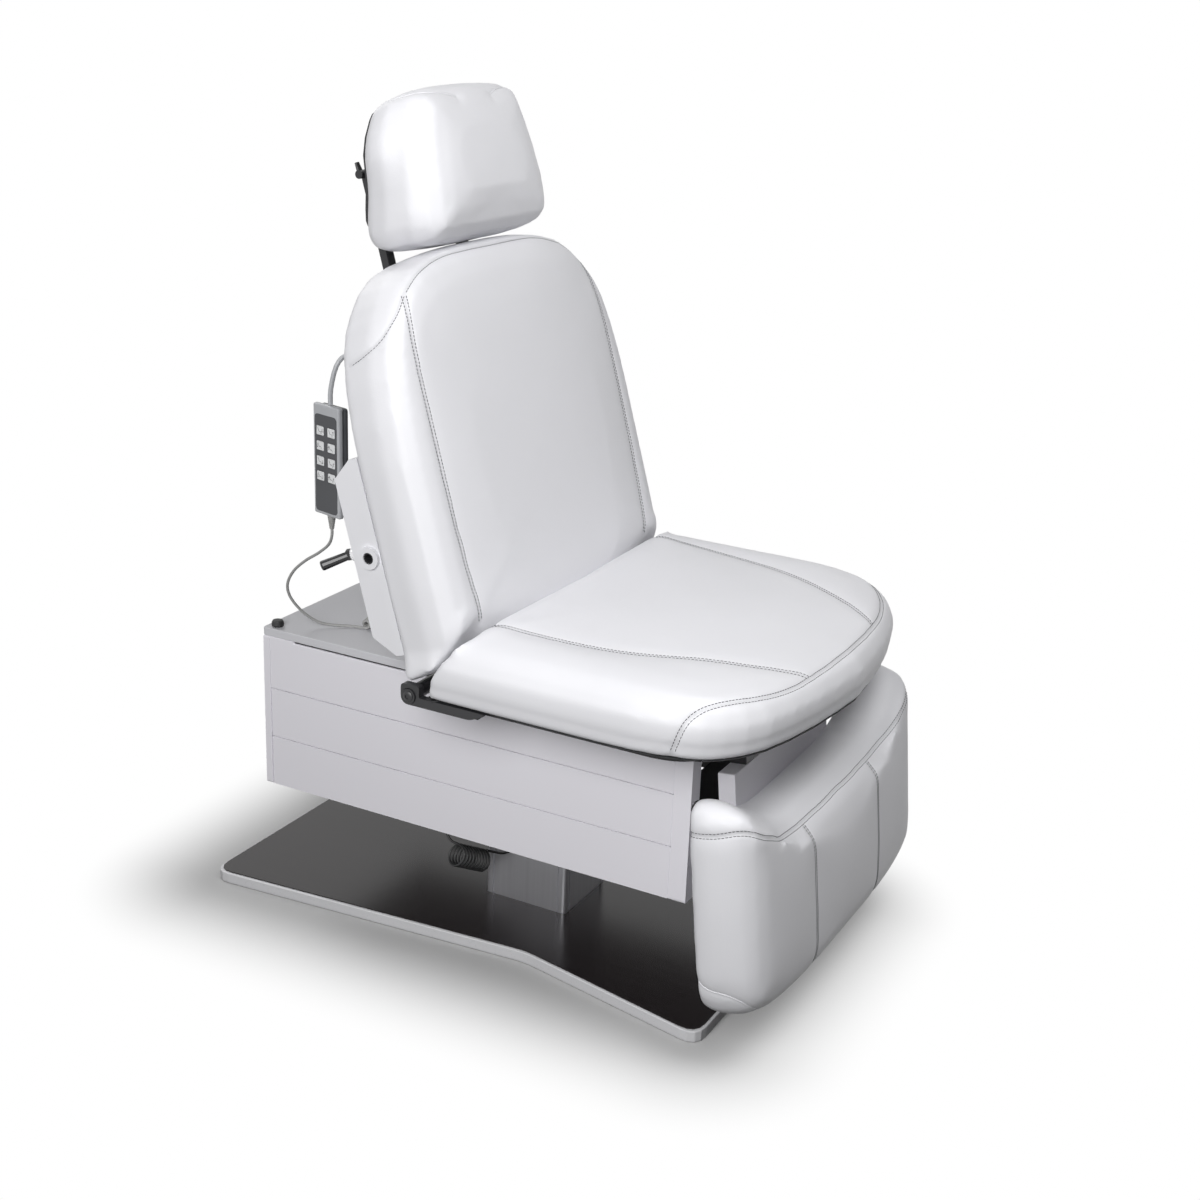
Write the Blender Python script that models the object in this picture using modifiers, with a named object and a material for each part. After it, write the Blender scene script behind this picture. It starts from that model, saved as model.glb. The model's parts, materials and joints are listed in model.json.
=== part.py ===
# Spa treatment chair on a telescopic lift column.
# Metres, +Z up. The origin is on the floor under the column; the sitter faces -Y and +X is the sitter's left.

import math

import bmesh
import bpy
from mathutils import Matrix, Vector

# Clearances
GAP = 0.0003            # between faces that touch
RUN = 0.0006            # all round in sliding and turning fits

# Floor plate
BASE_REAR_Y = 0.486
BASE_FRONT_Y = -0.397
BASE_REAR_HALF = 0.240
BASE_WAIST_HALF = 0.195
BASE_WAIST_Y = -0.075
BASE_FRONT_HALF = 0.262
BASE_CORNER = 0.026
BASE_WAIST_CORNER = 0.120
BASE_THICK = 0.018
COVER_THICK = 0.0017
COVER_INSET = 0.004

# Lift column, from the outside in
COLUMN_HALF_X = 0.0657
COLUMN_HALF_Y = 0.0719
COLUMN_CORNER = 0.008
COLUMN_WALL = 0.005
COLUMN_TOP_Z = 0.395
COLUMN_STAGE_RISE = 0.004
GROOVE_WIDTH = 0.003
GROOVE_DEPTH = 0.0025
GROOVE_FROM_CORNER = 0.013
LIFT_SCREW_RADIUS = 0.008
LIFT_NUT_RADIUS = 0.015
LIFT_NUT_TOP_Z = 0.318
LIFT_MOTOR_RADIUS = 0.042
LIFT_MOTOR_BOTTOM_Z = 0.325
LIFT_SCREW_BOTTOM_Z = 0.030

# Enclosure round the column head
BOX_HALF = 0.220
BOX_REAR_Y = 0.388
BOX_FRONT_Y = -0.347
BOX_BOTTOM_Z = 0.1934
DECK_TOP_Z = 0.4545
DECK_THICK = 0.013
DECK_FRONT_Y = 0.095
PANEL_THICK = 0.012
PANEL_SPLITS_Z = (0.3556, 0.2750)
PANEL_REVEAL = 0.0006
PANEL_SHY = 0.001
PANEL_EDGE = 0.0012
SLOT_HEIGHT = 0.0032
SLOT_REAR_Y = 0.331
END_PANEL_THICK = 0.012
FRONT_POST_DEPTH = 0.027
FRONT_POST_WIDTH = 0.027
FRONT_RAIL_HEIGHT = 0.041
FRONT_SILL_HEIGHT = 0.027

# Steel chassis under the deck and the seat
CHASSIS_HEIGHT = 0.036
CHASSIS_RAIL = 0.030
CHASSIS_HEAD_HALF_X = 0.085
CHASSIS_HEAD_FRONT_Y = -0.085
CHASSIS_BRIDGE_Y = 0.100
CHASSIS_BRIDGE_DEPTH = 0.030

# Rubber stops and cable parts on the deck
BUMPER_RADIUS = 0.0100
BUMPER_HEIGHT = 0.0105
BUMPER_X = 0.206
BUMPER_Y = 0.370
GLAND_SIZE = 0.016

# Seat
SEAT_BOARD_THICK = 0.018
SEAT_BOARD_SHY = 0.024
SEAT_BOARD_REAR_Y = -0.072
SEAT_BOARD_WING_Y = 0.000
SEAT_BOARD_SIDE_Y = -0.365
SEAT_BOARD_FRONT_Y = -0.456
SEAT_BOARD_CORNER = 0.090
SEAT_HALF = 0.336
SEAT_FRONT_Y = -0.496
SEAT_REAR_Y = -0.066
SEAT_WING_Y = 0.012
SEAT_WING_HEIGHT = 0.037
SEAT_WING_SLOPE = 0.739
SEAT_WING_X = 0.245
SEAT_THICK = 0.1015
SEAT_FRONT_DROP = 0.010
SEAT_TUCK = 0.006

# Back rest, in its own frame: Z up along the back, -Y to the front, origin on the recline axis
BACK_PIVOT_Y = 0.042
BACK_PIVOT_Z = 0.459
BACK_LEAN = math.radians(16.3)
BACK_TRAVEL = math.radians(73.0)
BACK_REAR = -0.0145
BACK_BOARD_THICK = 0.015
BACK_THICK = 0.0750
BACK_HALF = 0.318
BACK_BOTTOM = 0.018
BACK_TOP = 0.587
BACK_BOARD_INSET = 0.0430
BACK_RIM = 0.0400
BACK_RIM_WIDTH = 0.040
BACK_FOOT = 0.030
BACK_FOOT_SLOPE = 0.762
BACK_FOOT_START = 0.0124
BACK_FOOT_TOP = 0.160
HINGE_X = 0.322
HINGE_PLATE = 0.012
HINGE_EYE = 0.0135
HINGE_NECK = 0.017
HINGE_FRONT_Y = -0.088
HINGE_LOW_Z = 0.4457
TORSION_RADIUS = 0.011
UPRIGHT_X = 0.170
UPRIGHT_WIDTH = 0.030
UPRIGHT_THICK = 0.006
UPRIGHT_TOP = 0.320
CRANK_INSET = 0.0480
CRANK_PLATE = 0.008
CRANK_STUB = 0.006
CRANK_RADIUS = 0.050
CRANK_EYE = 0.012
PIN_RADIUS = 0.006

# Arm brackets on the back, with a socket for an arm rest and its clamp lever
BRACKET_X = 0.296
BRACKET_THICK = 0.024
BRACKET_BOTTOM = 0.052
BRACKET_TOP = 0.336
BRACKET_REAR = 0.058
BRACKET_FOOT_X = 0.228
SOCKET_Y = 0.029
SOCKET_Z = 0.196
SOCKET_RADIUS = 0.0085
SOCKET_BOSS = 0.018
SOCKET_BOSS_PROUD = 0.005
LEVER_Z = 0.202
LEVER_HUB_RADIUS = 0.0085
LEVER_HUB_LENGTH = 0.016
LEVER_ARM_LENGTH = 0.046
LEVER_ARM_RADIUS = 0.0075
LEVER_ARM_TILT = math.radians(52.0)

# Head rest: posts slide in guides on the back, and the cushion tilts on a cross rod
POST_X = 0.100
POST_WIDTH = 0.018
POST_THICK = 0.012
POST_OFFSET = 0.0320
POST_BOTTOM = 0.360
HEAD_AXIS = 0.714
GUIDE_BOTTOM = 0.455
GUIDE_TOP = 0.535
GUIDE_WALL = 0.006
GUIDE_WEB = 0.008
HEAD_ROD_RADIUS = 0.006
HEAD_COVER_REAR_Y = 0.240
HEAD_COVER_THICK = 0.010
HEAD_COVER_INSET = 0.012
HEAD_THICK = 0.1230
HEAD_TAPER = 0.40
HEAD_TOP_SLOPE = 0.014
HEAD_BOTTOM_Z = 1.045
HEAD_HEIGHT = 0.225
HEAD_LOW_HALF = 0.165
HEAD_HIGH_HALF = 0.121
HEAD_LUG_X = 0.060
HEAD_LUG_THICK = 0.010
HEAD_LUG_EYE = 0.013
HEAD_LEVER_LENGTH = 0.020
HEAD_LEVER_RADIUS = 0.008
HEAD_LEVER_WIDTH = 0.013

# Leg rest, in its own frame: Z up along the pad, -Y to the front, origin on the hinge axis
LEG_PIVOT_Y = -0.385
LEG_PIVOT_Z = 0.4206
LEG_LEAN = math.radians(6.17)
LEG_HALF = 0.325
LEG_TOP = -0.080
LEG_LOBE = 0.058
LEG_BOTTOM = -0.348
LEG_REAR = 0.0008
LEG_THICK = 0.1040
LEG_TOP_SLANT = 0.028
LEG_BOARD_SHY = 0.002
LEG_BOARD_THICK = 0.026
LEG_BOARD_TOP = -0.0377
LEG_BOARD_BOTTOM = -0.300
LEG_JOURNAL = 0.010
LEG_YOKE_SHY = 0.010
LEG_YOKE_FOOT = 0.006

# Carriage that carries the leg rest out as it rises: two rods in the chassis, a cross bar and two lugs
CARRIAGE_ROD_INSET = 0.0467
CARRIAGE_ROD_RADIUS = 0.008
CARRIAGE_ROD_REAR_Y = -0.130
CARRIAGE_TRAVEL = 0.125
CARRIAGE_BAR_OVER = 0.012
CARRIAGE_BAR_DEPTH = 0.0118
CARRIAGE_BAR_HEIGHT = 0.020
CARRIAGE_LUG_INSET = 0.020
CARRIAGE_LUG_PLATE = 0.0097
CARRIAGE_LUG_EYE = 0.0150
CARRIAGE_TONGUE_HALF = 0.020
CARRIAGE_TONGUE_LOW_Z = 0.358

# Linear actuators
ACTUATOR_RADIUS = 0.017
ROD_RADIUS = 0.008
ROD_EYE = 0.012
ROD_EYE_THICK = 0.0164
BACK_ACTUATOR_END_Y = -0.020
LEG_ACTUATOR_Z = 0.372
LEG_ACTUATOR_REAR_Y = -0.095
LEG_ACTUATOR_FRONT_Y = -0.310
MOTOR_DROP = 0.046
MOTOR_LENGTH = 0.085
BORE_SPARE = 0.012

# Control box inside the enclosure
CONTROL_LENGTH = 0.220
CONTROL_WIDTH = 0.102
CONTROL_HEIGHT = 0.090
CONTROL_BOTTOM_Z = 0.262

# Hand control, hung behind the back, keys facing -X
HANDSET_CENTRE = (-0.243, 0.238, 0.747)
HANDSET_YAW = math.radians(-13.6)
HANDSET_WIDTH = 0.056
HANDSET_LENGTH = 0.163
HANDSET_REAR_DEPTH = 0.0125
HANDSET_FRONT_DEPTH = 0.0090
HANDSET_CORNER = 0.006
KEY_ROWS = 4
KEY_ROW_PITCH = 0.0222
KEY_FIRST_ROW = 0.0385
KEY_COLUMN_PITCH = 0.0240
KEY_WIDTH = 0.0150
KEY_HEIGHT = 0.0130
KEY_DEPTH = 0.0035
KEY_PROUD = 0.0012
KEY_TRAVEL = 0.0010
RELIEF_LENGTH = 0.020
RELIEF_RADIUS = 0.0062
HANGER_RADIUS = 0.0035
HANGER_END_X = -0.205
HANGER_END_Z = 0.478

# Cords
HAND_CORD_RADIUS = 0.0022
HAND_COIL_RADIUS = 0.0056
HAND_COIL_CURLS = 20
HAND_COIL_PITCH = 0.0055
POWER_CORD_RADIUS = 0.0020
POWER_COIL_RADIUS = 0.0168
POWER_COIL_CURLS = 9
POWER_COIL_PITCH = 0.0078
POINTS_PER_CURL = 9
HAND_COIL_TURN = -1.0
HAND_LEAD = 0.014
POWER_COIL_TURN = 1.0

# Sizes that follow from the ones above
CHASSIS_TOP_Z = DECK_TOP_Z - DECK_THICK - GAP
CHASSIS_BOTTOM_Z = CHASSIS_TOP_Z - CHASSIS_HEIGHT
BASE_TOP_Z = BASE_THICK + GAP + COVER_THICK
PANEL_FRONT_Y = BOX_FRONT_Y + FRONT_POST_DEPTH + GAP
PANEL_REAR_Y = BOX_REAR_Y - END_PANEL_THICK - GAP
CHASSIS_HALF = BOX_HALF - PANEL_SHY - PANEL_THICK - GAP
CHASSIS_FRONT_Y = PANEL_FRONT_Y
CHASSIS_REAR_Y = PANEL_REAR_Y
SEAT_BOTTOM_Z = CHASSIS_TOP_Z + GAP + SEAT_BOARD_THICK + GAP
HEAD_TOP_Z = HEAD_BOTTOM_Z + HEAD_HEIGHT
CARRIAGE_ROD_X = CHASSIS_HALF - CARRIAGE_ROD_INSET
CARRIAGE_BAR_HALF = CARRIAGE_ROD_X + CARRIAGE_BAR_OVER
CARRIAGE_LUG_X = CARRIAGE_ROD_X - CARRIAGE_LUG_INSET
LEG_YOKE_HALF = CARRIAGE_LUG_X - LEG_YOKE_SHY
LEG_BOARD_HALF = CARRIAGE_BAR_HALF - LEG_BOARD_SHY
CRANK_X = CARRIAGE_ROD_X - CRANK_INSET
SEAT_BOARD_HALF = HINGE_X - SEAT_BOARD_SHY
CARRIAGE_BAR_REAR_Y = BOX_FRONT_Y - 0.0007
CARRIAGE_BAR_FRONT_Y = CARRIAGE_BAR_REAR_Y - CARRIAGE_BAR_DEPTH
SIDES = (("right", -1.0), ("left", 1.0))

# Working planes: X across, Y to the rear, Z up
PLAN = Matrix.Identity(3)
SIDE = Matrix(((0, 0, 1), (1, 0, 0), (0, 1, 0)))
FRONT = Matrix(((1, 0, 0), (0, 0, -1), (0, 1, 0)))


# Scene and materials

for old in list(bpy.data.objects):
    bpy.data.objects.remove(old, do_unlink=True)

PARTS = bpy.data.collections.new("spa_treatment_chair")
CUTTERS = bpy.data.collections.new("cutters")
bpy.context.scene.collection.children.link(PARTS)
bpy.context.scene.collection.children.link(CUTTERS)


def finish(name, colour, roughness, metallic=0.0):
    material = bpy.data.materials.new(name)
    material.use_nodes = True
    shader = material.node_tree.nodes["Principled BSDF"]
    shader.inputs["Base Color"].default_value = (*colour, 1.0)
    shader.inputs["Roughness"].default_value = roughness
    shader.inputs["Metallic"].default_value = metallic
    material.diffuse_color = (*colour, 1.0)
    return material


UPHOLSTERY = finish("white upholstery", (0.86, 0.86, 0.88), 0.45)
WHITE_PANEL = finish("white panel", (0.80, 0.80, 0.83), 0.40)
WHITE_STEEL = finish("white painted steel", (0.82, 0.82, 0.84), 0.35)
BLACK_STEEL = finish("black painted steel", (0.02, 0.02, 0.02), 0.45)
BLACK_BOARD = finish("black board", (0.03, 0.03, 0.03), 0.60)
STAINLESS = finish("brushed stainless", (0.35, 0.34, 0.34), 0.30, 1.0)
ALUMINIUM = finish("anodised aluminium", (0.70, 0.70, 0.72), 0.35, 1.0)
BRIGHT_STEEL = finish("bright steel", (0.60, 0.60, 0.62), 0.25, 1.0)
RUBBER = finish("black rubber", (0.02, 0.02, 0.02), 0.70)
BLACK_PLASTIC = finish("black plastic", (0.03, 0.03, 0.03), 0.40)
GREY_PLASTIC = finish("light grey plastic", (0.55, 0.56, 0.57), 0.45)
DARK_PLASTIC = finish("dark grey plastic", (0.10, 0.10, 0.11), 0.45)
KEY_PLASTIC = finish("white key", (0.85, 0.85, 0.85), 0.40)


# Helpers

def frame_empty(name, location, lean=0.0, yaw=0.0):
    empty = bpy.data.objects.new(name, None)
    empty.location = location
    empty.rotation_euler = (-lean, 0.0, yaw)
    PARTS.objects.link(empty)
    bpy.context.view_layer.update()
    return empty


def place(ob, location, basis, parent):
    ob.parent = parent
    ob.matrix_local = Matrix.Translation(location) @ basis.to_4x4()


def from_bmesh(name, bm, material, location=(0, 0, 0), basis=PLAN, parent=None):
    bmesh.ops.recalc_face_normals(bm, faces=bm.faces)
    mesh = bpy.data.meshes.new(name)
    bm.to_mesh(mesh)
    bm.free()
    mesh.materials.append(material)
    ob = bpy.data.objects.new(name, mesh)
    PARTS.objects.link(ob)
    place(ob, location, basis, parent)
    return ob


def round_edges(ob, width, segments=2):
    bevel = ob.modifiers.new("rounded edges", "BEVEL")
    bevel.width = width
    bevel.segments = segments
    bevel.limit_method = "ANGLE"


def smooth(ob, angle=35.0):
    ob.data.shade_smooth()
    ob.data.set_sharp_from_angle(angle=math.radians(angle))


def block(name, low, high, material, parent=None, edge=0.0, segments=2):
    low = Vector(low)
    high = Vector(high)
    bm = bmesh.new()
    bmesh.ops.create_cube(bm, size=1.0, matrix=Matrix.Diagonal((*(high - low), 1.0)))
    ob = from_bmesh(name, bm, material, (low + high) / 2, PLAN, parent)
    if edge:
        round_edges(ob, edge, segments)
    return ob


def rod(name, radius, start, end, material, parent=None, tip_radius=None, sides=20):
    start = Vector(start)
    end = Vector(end)
    along = end - start
    tip = radius if tip_radius is None else tip_radius
    bm = bmesh.new()
    bmesh.ops.create_cone(bm, cap_ends=True, segments=sides, radius1=radius, radius2=tip, depth=along.length)
    basis = along.to_track_quat("Z", "Y").to_matrix()
    ob = from_bmesh(name, bm, material, (start + end) / 2, basis, parent)
    smooth(ob)
    return ob


def fillet(corners, radius, steps=4):
    """Round the corners of a closed polygon; a corner (x, y, r) has its own radius."""
    points = []
    count = len(corners)
    for index, corner in enumerate(corners):
        here = Vector(corner[:2])
        before = Vector(corners[index - 1][:2]) - here
        after = Vector(corners[(index + 1) % count][:2]) - here
        size = corner[2] if len(corner) > 2 else radius
        half = before.angle(after) / 2
        reach = min(size / math.tan(half), 0.49 * before.length, 0.49 * after.length)
        if reach < 1e-6:
            points.append(here)
            continue
        first = here + before.normalized() * reach
        last = here + after.normalized() * reach
        for step in range(steps + 1):
            t = step / steps
            points.append(first * (1 - t) ** 2 + here * (2 * t * (1 - t)) + last * t ** 2)
    return points


def circle(centre, radius, sides=20):
    turn = 2 * math.pi / sides
    return [Vector((centre[0] + radius * math.cos(i * turn), centre[1] + radius * math.sin(i * turn)))
            for i in range(sides)]


def plate(name, loops, thickness, material, location=(0, 0, 0), basis=PLAN, parent=None):
    """A flat sheet: the first loop is its outline, the others are holes; it is centred on its plane."""
    curve = bpy.data.curves.new(name, "CURVE")
    curve.dimensions = "2D"
    curve.fill_mode = "BOTH"
    curve.extrude = thickness / 2
    for loop in loops:
        spline = curve.splines.new("POLY")
        spline.points.add(len(loop) - 1)
        for point, corner in zip(spline.points, loop):
            point.co = (corner[0], corner[1], 0.0, 1.0)
        spline.use_cyclic_u = True
    drawn = bpy.data.objects.new(name + " outline", curve)
    PARTS.objects.link(drawn)
    bpy.context.view_layer.update()
    mesh = bpy.data.meshes.new_from_object(drawn.evaluated_get(bpy.context.evaluated_depsgraph_get()))
    bpy.data.objects.remove(drawn, do_unlink=True)
    bm = bmesh.new()
    bm.from_mesh(mesh)
    bpy.data.meshes.remove(mesh)
    bmesh.ops.remove_doubles(bm, verts=bm.verts, dist=1e-6)
    return from_bmesh(name, bm, material, location, basis, parent)


def combine(ob, others, operation):
    for other in others:
        PARTS.objects.unlink(other)
        CUTTERS.objects.link(other)
        other.hide_render = True
        other.display_type = "WIRE"
        step = ob.modifiers.new(operation.lower(), "BOOLEAN")
        step.operation = operation
        step.object = other
        step.solver = "EXACT"
    return ob


def fuse(ob, *others):
    return combine(ob, others, "UNION")


def cut(ob, *others):
    return combine(ob, others, "DIFFERENCE")


def curve_through(points, per_span, closed=False):
    """Points on a smooth curve through the given ones (Catmull-Rom)."""
    points = [Vector(p) for p in points]
    count = len(points)
    spans = count if closed else count - 1
    out = []
    for i in range(spans):
        if closed:
            a, b, c, d = (points[(i + k - 1) % count] for k in range(4))
        else:
            b, c = points[i], points[i + 1]
            a = points[i - 1] if i else b * 2 - c
            d = points[i + 2] if i + 2 < count else c * 2 - b
        for step in range(per_span):
            t = step / per_span
            out.append(0.5 * ((2 * b) + (c - a) * t + (2 * a - 5 * b + 4 * c - d) * t ** 2
                              + (3 * b - a - 3 * c + d) * t ** 3))
    if not closed:
        out.append(points[-1])
    return out


def tube(name, points, radius, material, resolution, parent=None):
    curve = bpy.data.curves.new(name, "CURVE")
    curve.dimensions = "3D"
    curve.bevel_depth = radius
    curve.bevel_resolution = resolution
    curve.use_fill_caps = True
    spline = curve.splines.new("POLY")
    spline.points.add(len(points) - 1)
    for point, place_at in zip(spline.points, points):
        point.co = (*place_at, 1.0)
    curve.materials.append(material)
    ob = bpy.data.objects.new(name, curve)
    PARTS.objects.link(ob)
    place(ob, (0, 0, 0), PLAN, parent)
    return ob


def ease(low, high, value):
    t = min(1.0, max(0.0, (value - low) / (high - low)))
    return t * t * (3 - 2 * t)


def mirrored(half):
    """Close a right-hand half outline, drawn from the middle to the middle, with its mirror image."""
    return half + [Vector((-p.x, p.y)) for p in reversed(half[1:-1])]


def inset(outline, distance, hold=None):
    """Move an outline inwards; hold(point) is the share of the move along Y that is kept there."""
    count = len(outline)
    moved = []
    for i, here in enumerate(outline):
        along = (outline[(i + 1) % count] - outline[i - 1]).normalized()
        share = hold(here) if hold else 1.0
        moved.append(here + Vector((-along.y, along.x * share)) * distance)
    return moved


def pad(name, outline, levels, crown, material, location, basis, parent=None, reshape=None, hold=None):
    """A stuffed pad: rings of an outline, inset level by level, then drawn in to a crowned middle."""
    at = outline if callable(outline) else lambda height: outline
    rings = [[(p.x, p.y, height) for p in inset(at(height), distance, hold)] for distance, height in levels]
    outline = at(levels[-1][1])
    middle = Vector((0.0, sum(p.y for p in outline) / len(outline)))
    last = [Vector(p[:2]) for p in rings[-1]]
    for share, height in crown[:-1]:
        rings.append([(*(middle + (p - middle) * share), height) for p in last])
    tip = (*middle, crown[-1][1])
    change = reshape if reshape else lambda p: p
    bm = bmesh.new()
    loops = [[bm.verts.new(change(Vector(p))) for p in ring] for ring in rings]
    count = len(outline)
    for lower, upper in zip(loops, loops[1:]):
        for i in range(count):
            j = (i + 1) % count
            bm.faces.new((lower[i], lower[j], upper[j], upper[i]))
    bm.faces.new(loops[0])
    top = bm.verts.new(change(Vector(tip)))
    for i in range(count):
        bm.faces.new((loops[-1][i], loops[-1][(i + 1) % count], top))
    ob = from_bmesh(name, bm, material, location, basis, parent)
    ob.data.shade_smooth()
    return ob


def helix(start, axis, first, radius, pitch, curls, turn):
    """Points of a curl round an axis; first is the direction from the axis to the first point."""
    axis = Vector(axis).normalized()
    first = Vector(first).normalized()
    other = axis.cross(first) * turn
    points = []
    for step in range(curls * POINTS_PER_CURL + 1):
        angle = 2 * math.pi * step / POINTS_PER_CURL
        advance = pitch * step / POINTS_PER_CURL
        points.append(Vector(start) + axis * advance + (first * math.cos(angle) + other * math.sin(angle)) * radius)
    return points


def least_gap(points, radius):
    """Smallest free distance between turns of one tube, measured on its points."""
    skip = POINTS_PER_CURL // 2
    pairs = ((a - b).length for i, a in enumerate(points) for b in points[i + skip:])
    return min(pairs) - 2 * radius


# Frames of the moving assemblies

BACK = frame_empty("recline axis", (0, BACK_PIVOT_Y, BACK_PIVOT_Z), BACK_LEAN)
LEG = frame_empty("leg rest axis", (0, LEG_PIVOT_Y, LEG_PIVOT_Z), LEG_LEAN)
HANDSET = frame_empty("hand control frame", HANDSET_CENTRE, 0.0, HANDSET_YAW)
HEAD_POINT = BACK.matrix_world @ Vector((0, POST_OFFSET, HEAD_AXIS))


# Floor plate and its stainless cover

def floor_outline(shrink):
    half = [(BASE_REAR_HALF - shrink, BASE_REAR_Y - shrink), (BASE_WAIST_HALF - shrink, BASE_WAIST_Y,
                                                              BASE_WAIST_CORNER),
            (BASE_FRONT_HALF - shrink, BASE_FRONT_Y + shrink)]
    return fillet(half + [(-p[0], *p[1:]) for p in reversed(half)], BASE_CORNER)


def build_floor():
    ob = plate("base_plate", [floor_outline(0.0)], BASE_THICK, WHITE_STEEL, (0, 0, BASE_THICK / 2))
    round_edges(ob, 0.0025)
    opening = [(s * (COLUMN_HALF_X + RUN), t * (COLUMN_HALF_Y + RUN)) for s, t in ((1, 1), (-1, 1), (-1, -1), (1, -1))]
    plate("base_cover", [floor_outline(COVER_INSET), fillet(opening, COLUMN_CORNER * 0.6)], COVER_THICK, STAINLESS,
          (0, 0, BASE_THICK + GAP + COVER_THICK / 2))


# Telescopic column with its drive

def grooved(half_x, half_y):
    """Outline of a column profile with two grooves on each face."""
    def face(half_along, half_out, quarter):
        near = half_along - GROOVE_FROM_CORNER
        line = [(-half_along, half_out, COLUMN_CORNER)]
        for middle in (-near, near):
            for across, depth in ((-1, 0), (-1, 1), (1, 1), (1, 0)):
                line.append((middle + across * GROOVE_WIDTH / 2, half_out - depth * GROOVE_DEPTH, 0.0))
        turn = Matrix.Rotation(-quarter * math.pi / 2, 2)
        return [(*(turn @ Vector(p[:2])), p[2]) for p in line]
    halves = ((half_x, half_y), (half_y, half_x))
    corners = []
    for quarter in range(4):
        corners += face(*halves[quarter % 2], quarter)
    return fillet(corners, 0.0, 3)


def plain(half_x, half_y):
    return fillet([(half_x, half_y), (-half_x, half_y), (-half_x, -half_y), (half_x, -half_y)],
                  COLUMN_CORNER * 0.6, 3)


def build_column():
    half_x, half_y = COLUMN_HALF_X, COLUMN_HALF_Y
    low = BASE_THICK + GAP
    top = COLUMN_TOP_Z
    stage_step = COLUMN_WALL + RUN
    for index, name in enumerate(("column_outer", "column_middle", "column_inner")):
        if index:
            outline = plain(half_x, half_y)
            low += COLUMN_STAGE_RISE
            top = CHASSIS_BOTTOM_Z - GAP if index == 2 else top + COLUMN_STAGE_RISE
        else:
            outline = grooved(half_x, half_y)
        bore = plain(half_x - COLUMN_WALL, half_y - COLUMN_WALL)
        plate(name, [outline, bore], top - low, ALUMINIUM, (0, 0, (low + top) / 2))
        half_x -= stage_step
        half_y -= stage_step
    head = CHASSIS_BOTTOM_Z - GAP
    motor = rod("lift_drive", LIFT_MOTOR_RADIUS, (0, 0, LIFT_MOTOR_BOTTOM_Z), (0, 0, head), BRIGHT_STEEL, sides=24)
    fuse(motor, rod("lift_drive screw", LIFT_SCREW_RADIUS, (0, 0, LIFT_SCREW_BOTTOM_Z),
                    (0, 0, LIFT_MOTOR_BOTTOM_Z + 0.01), BRIGHT_STEEL))
    nut_height = LIFT_NUT_TOP_Z - BASE_THICK - GAP
    plate("lift_nut_tube", [circle((0, 0), LIFT_NUT_RADIUS), circle((0, 0), LIFT_SCREW_RADIUS + RUN)], nut_height,
          BRIGHT_STEEL, (0, 0, LIFT_NUT_TOP_Z - nut_height / 2))


# Enclosure

def build_chassis():
    rail = CHASSIS_HALF - CHASSIS_RAIL
    front = CHASSIS_FRONT_Y + CHASSIS_RAIL
    head = CHASSIS_HEAD_HALF_X
    outer = [(CHASSIS_HALF, CHASSIS_REAR_Y), (-CHASSIS_HALF, CHASSIS_REAR_Y),
             (-CHASSIS_HALF, CHASSIS_FRONT_Y), (CHASSIS_HALF, CHASSIS_FRONT_Y)]
    front_bay = [(-rail, front), (rail, front), (rail, CHASSIS_BRIDGE_Y), (-rail, CHASSIS_BRIDGE_Y)]
    bay_front = CHASSIS_BRIDGE_Y + CHASSIS_BRIDGE_DEPTH
    bay_rear = CHASSIS_REAR_Y - CHASSIS_RAIL
    rear_bay = [(-rail, bay_front), (rail, bay_front), (rail, bay_rear), (-rail, bay_rear)]
    ob = plate("chassis_frame", [outer, fillet(front_bay, 0.006, 2), fillet(rear_bay, 0.006, 2)], CHASSIS_HEIGHT,
               BLACK_STEEL, (0, 0, (CHASSIS_TOP_Z + CHASSIS_BOTTOM_Z) / 2))
    fuse(ob, block("chassis_frame head", (-head, CHASSIS_HEAD_FRONT_Y, CHASSIS_BOTTOM_Z),
                   (head, CHASSIS_BRIDGE_Y + 0.010, CHASSIS_TOP_Z - 0.004), BLACK_STEEL))
    for side_name, side in SIDES:
        x = side * CARRIAGE_ROD_X
        cut(ob, rod(f"chassis_frame bore {side_name}", CARRIAGE_ROD_RADIUS + GAP, (x, CHASSIS_FRONT_Y - 0.01, LEG_PIVOT_Z),
                    (x, front + 0.01, LEG_PIVOT_Z), BLACK_STEEL, sides=16))


def side_board(name, side, outer, low, high, stepped):
    top = high - SLOT_HEIGHT if stepped else high
    corners = [(PANEL_FRONT_Y, low), (PANEL_REAR_Y, low), (PANEL_REAR_Y, high)]
    if stepped:
        corners += [(SLOT_REAR_Y, high), (SLOT_REAR_Y, top)]
    corners.append((PANEL_FRONT_Y, top))
    ob = plate(name, [fillet(corners, 0.0)], PANEL_THICK, WHITE_PANEL, (side * (outer - PANEL_THICK / 2), 0, 0), SIDE)
    round_edges(ob, PANEL_EDGE, 1)


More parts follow.
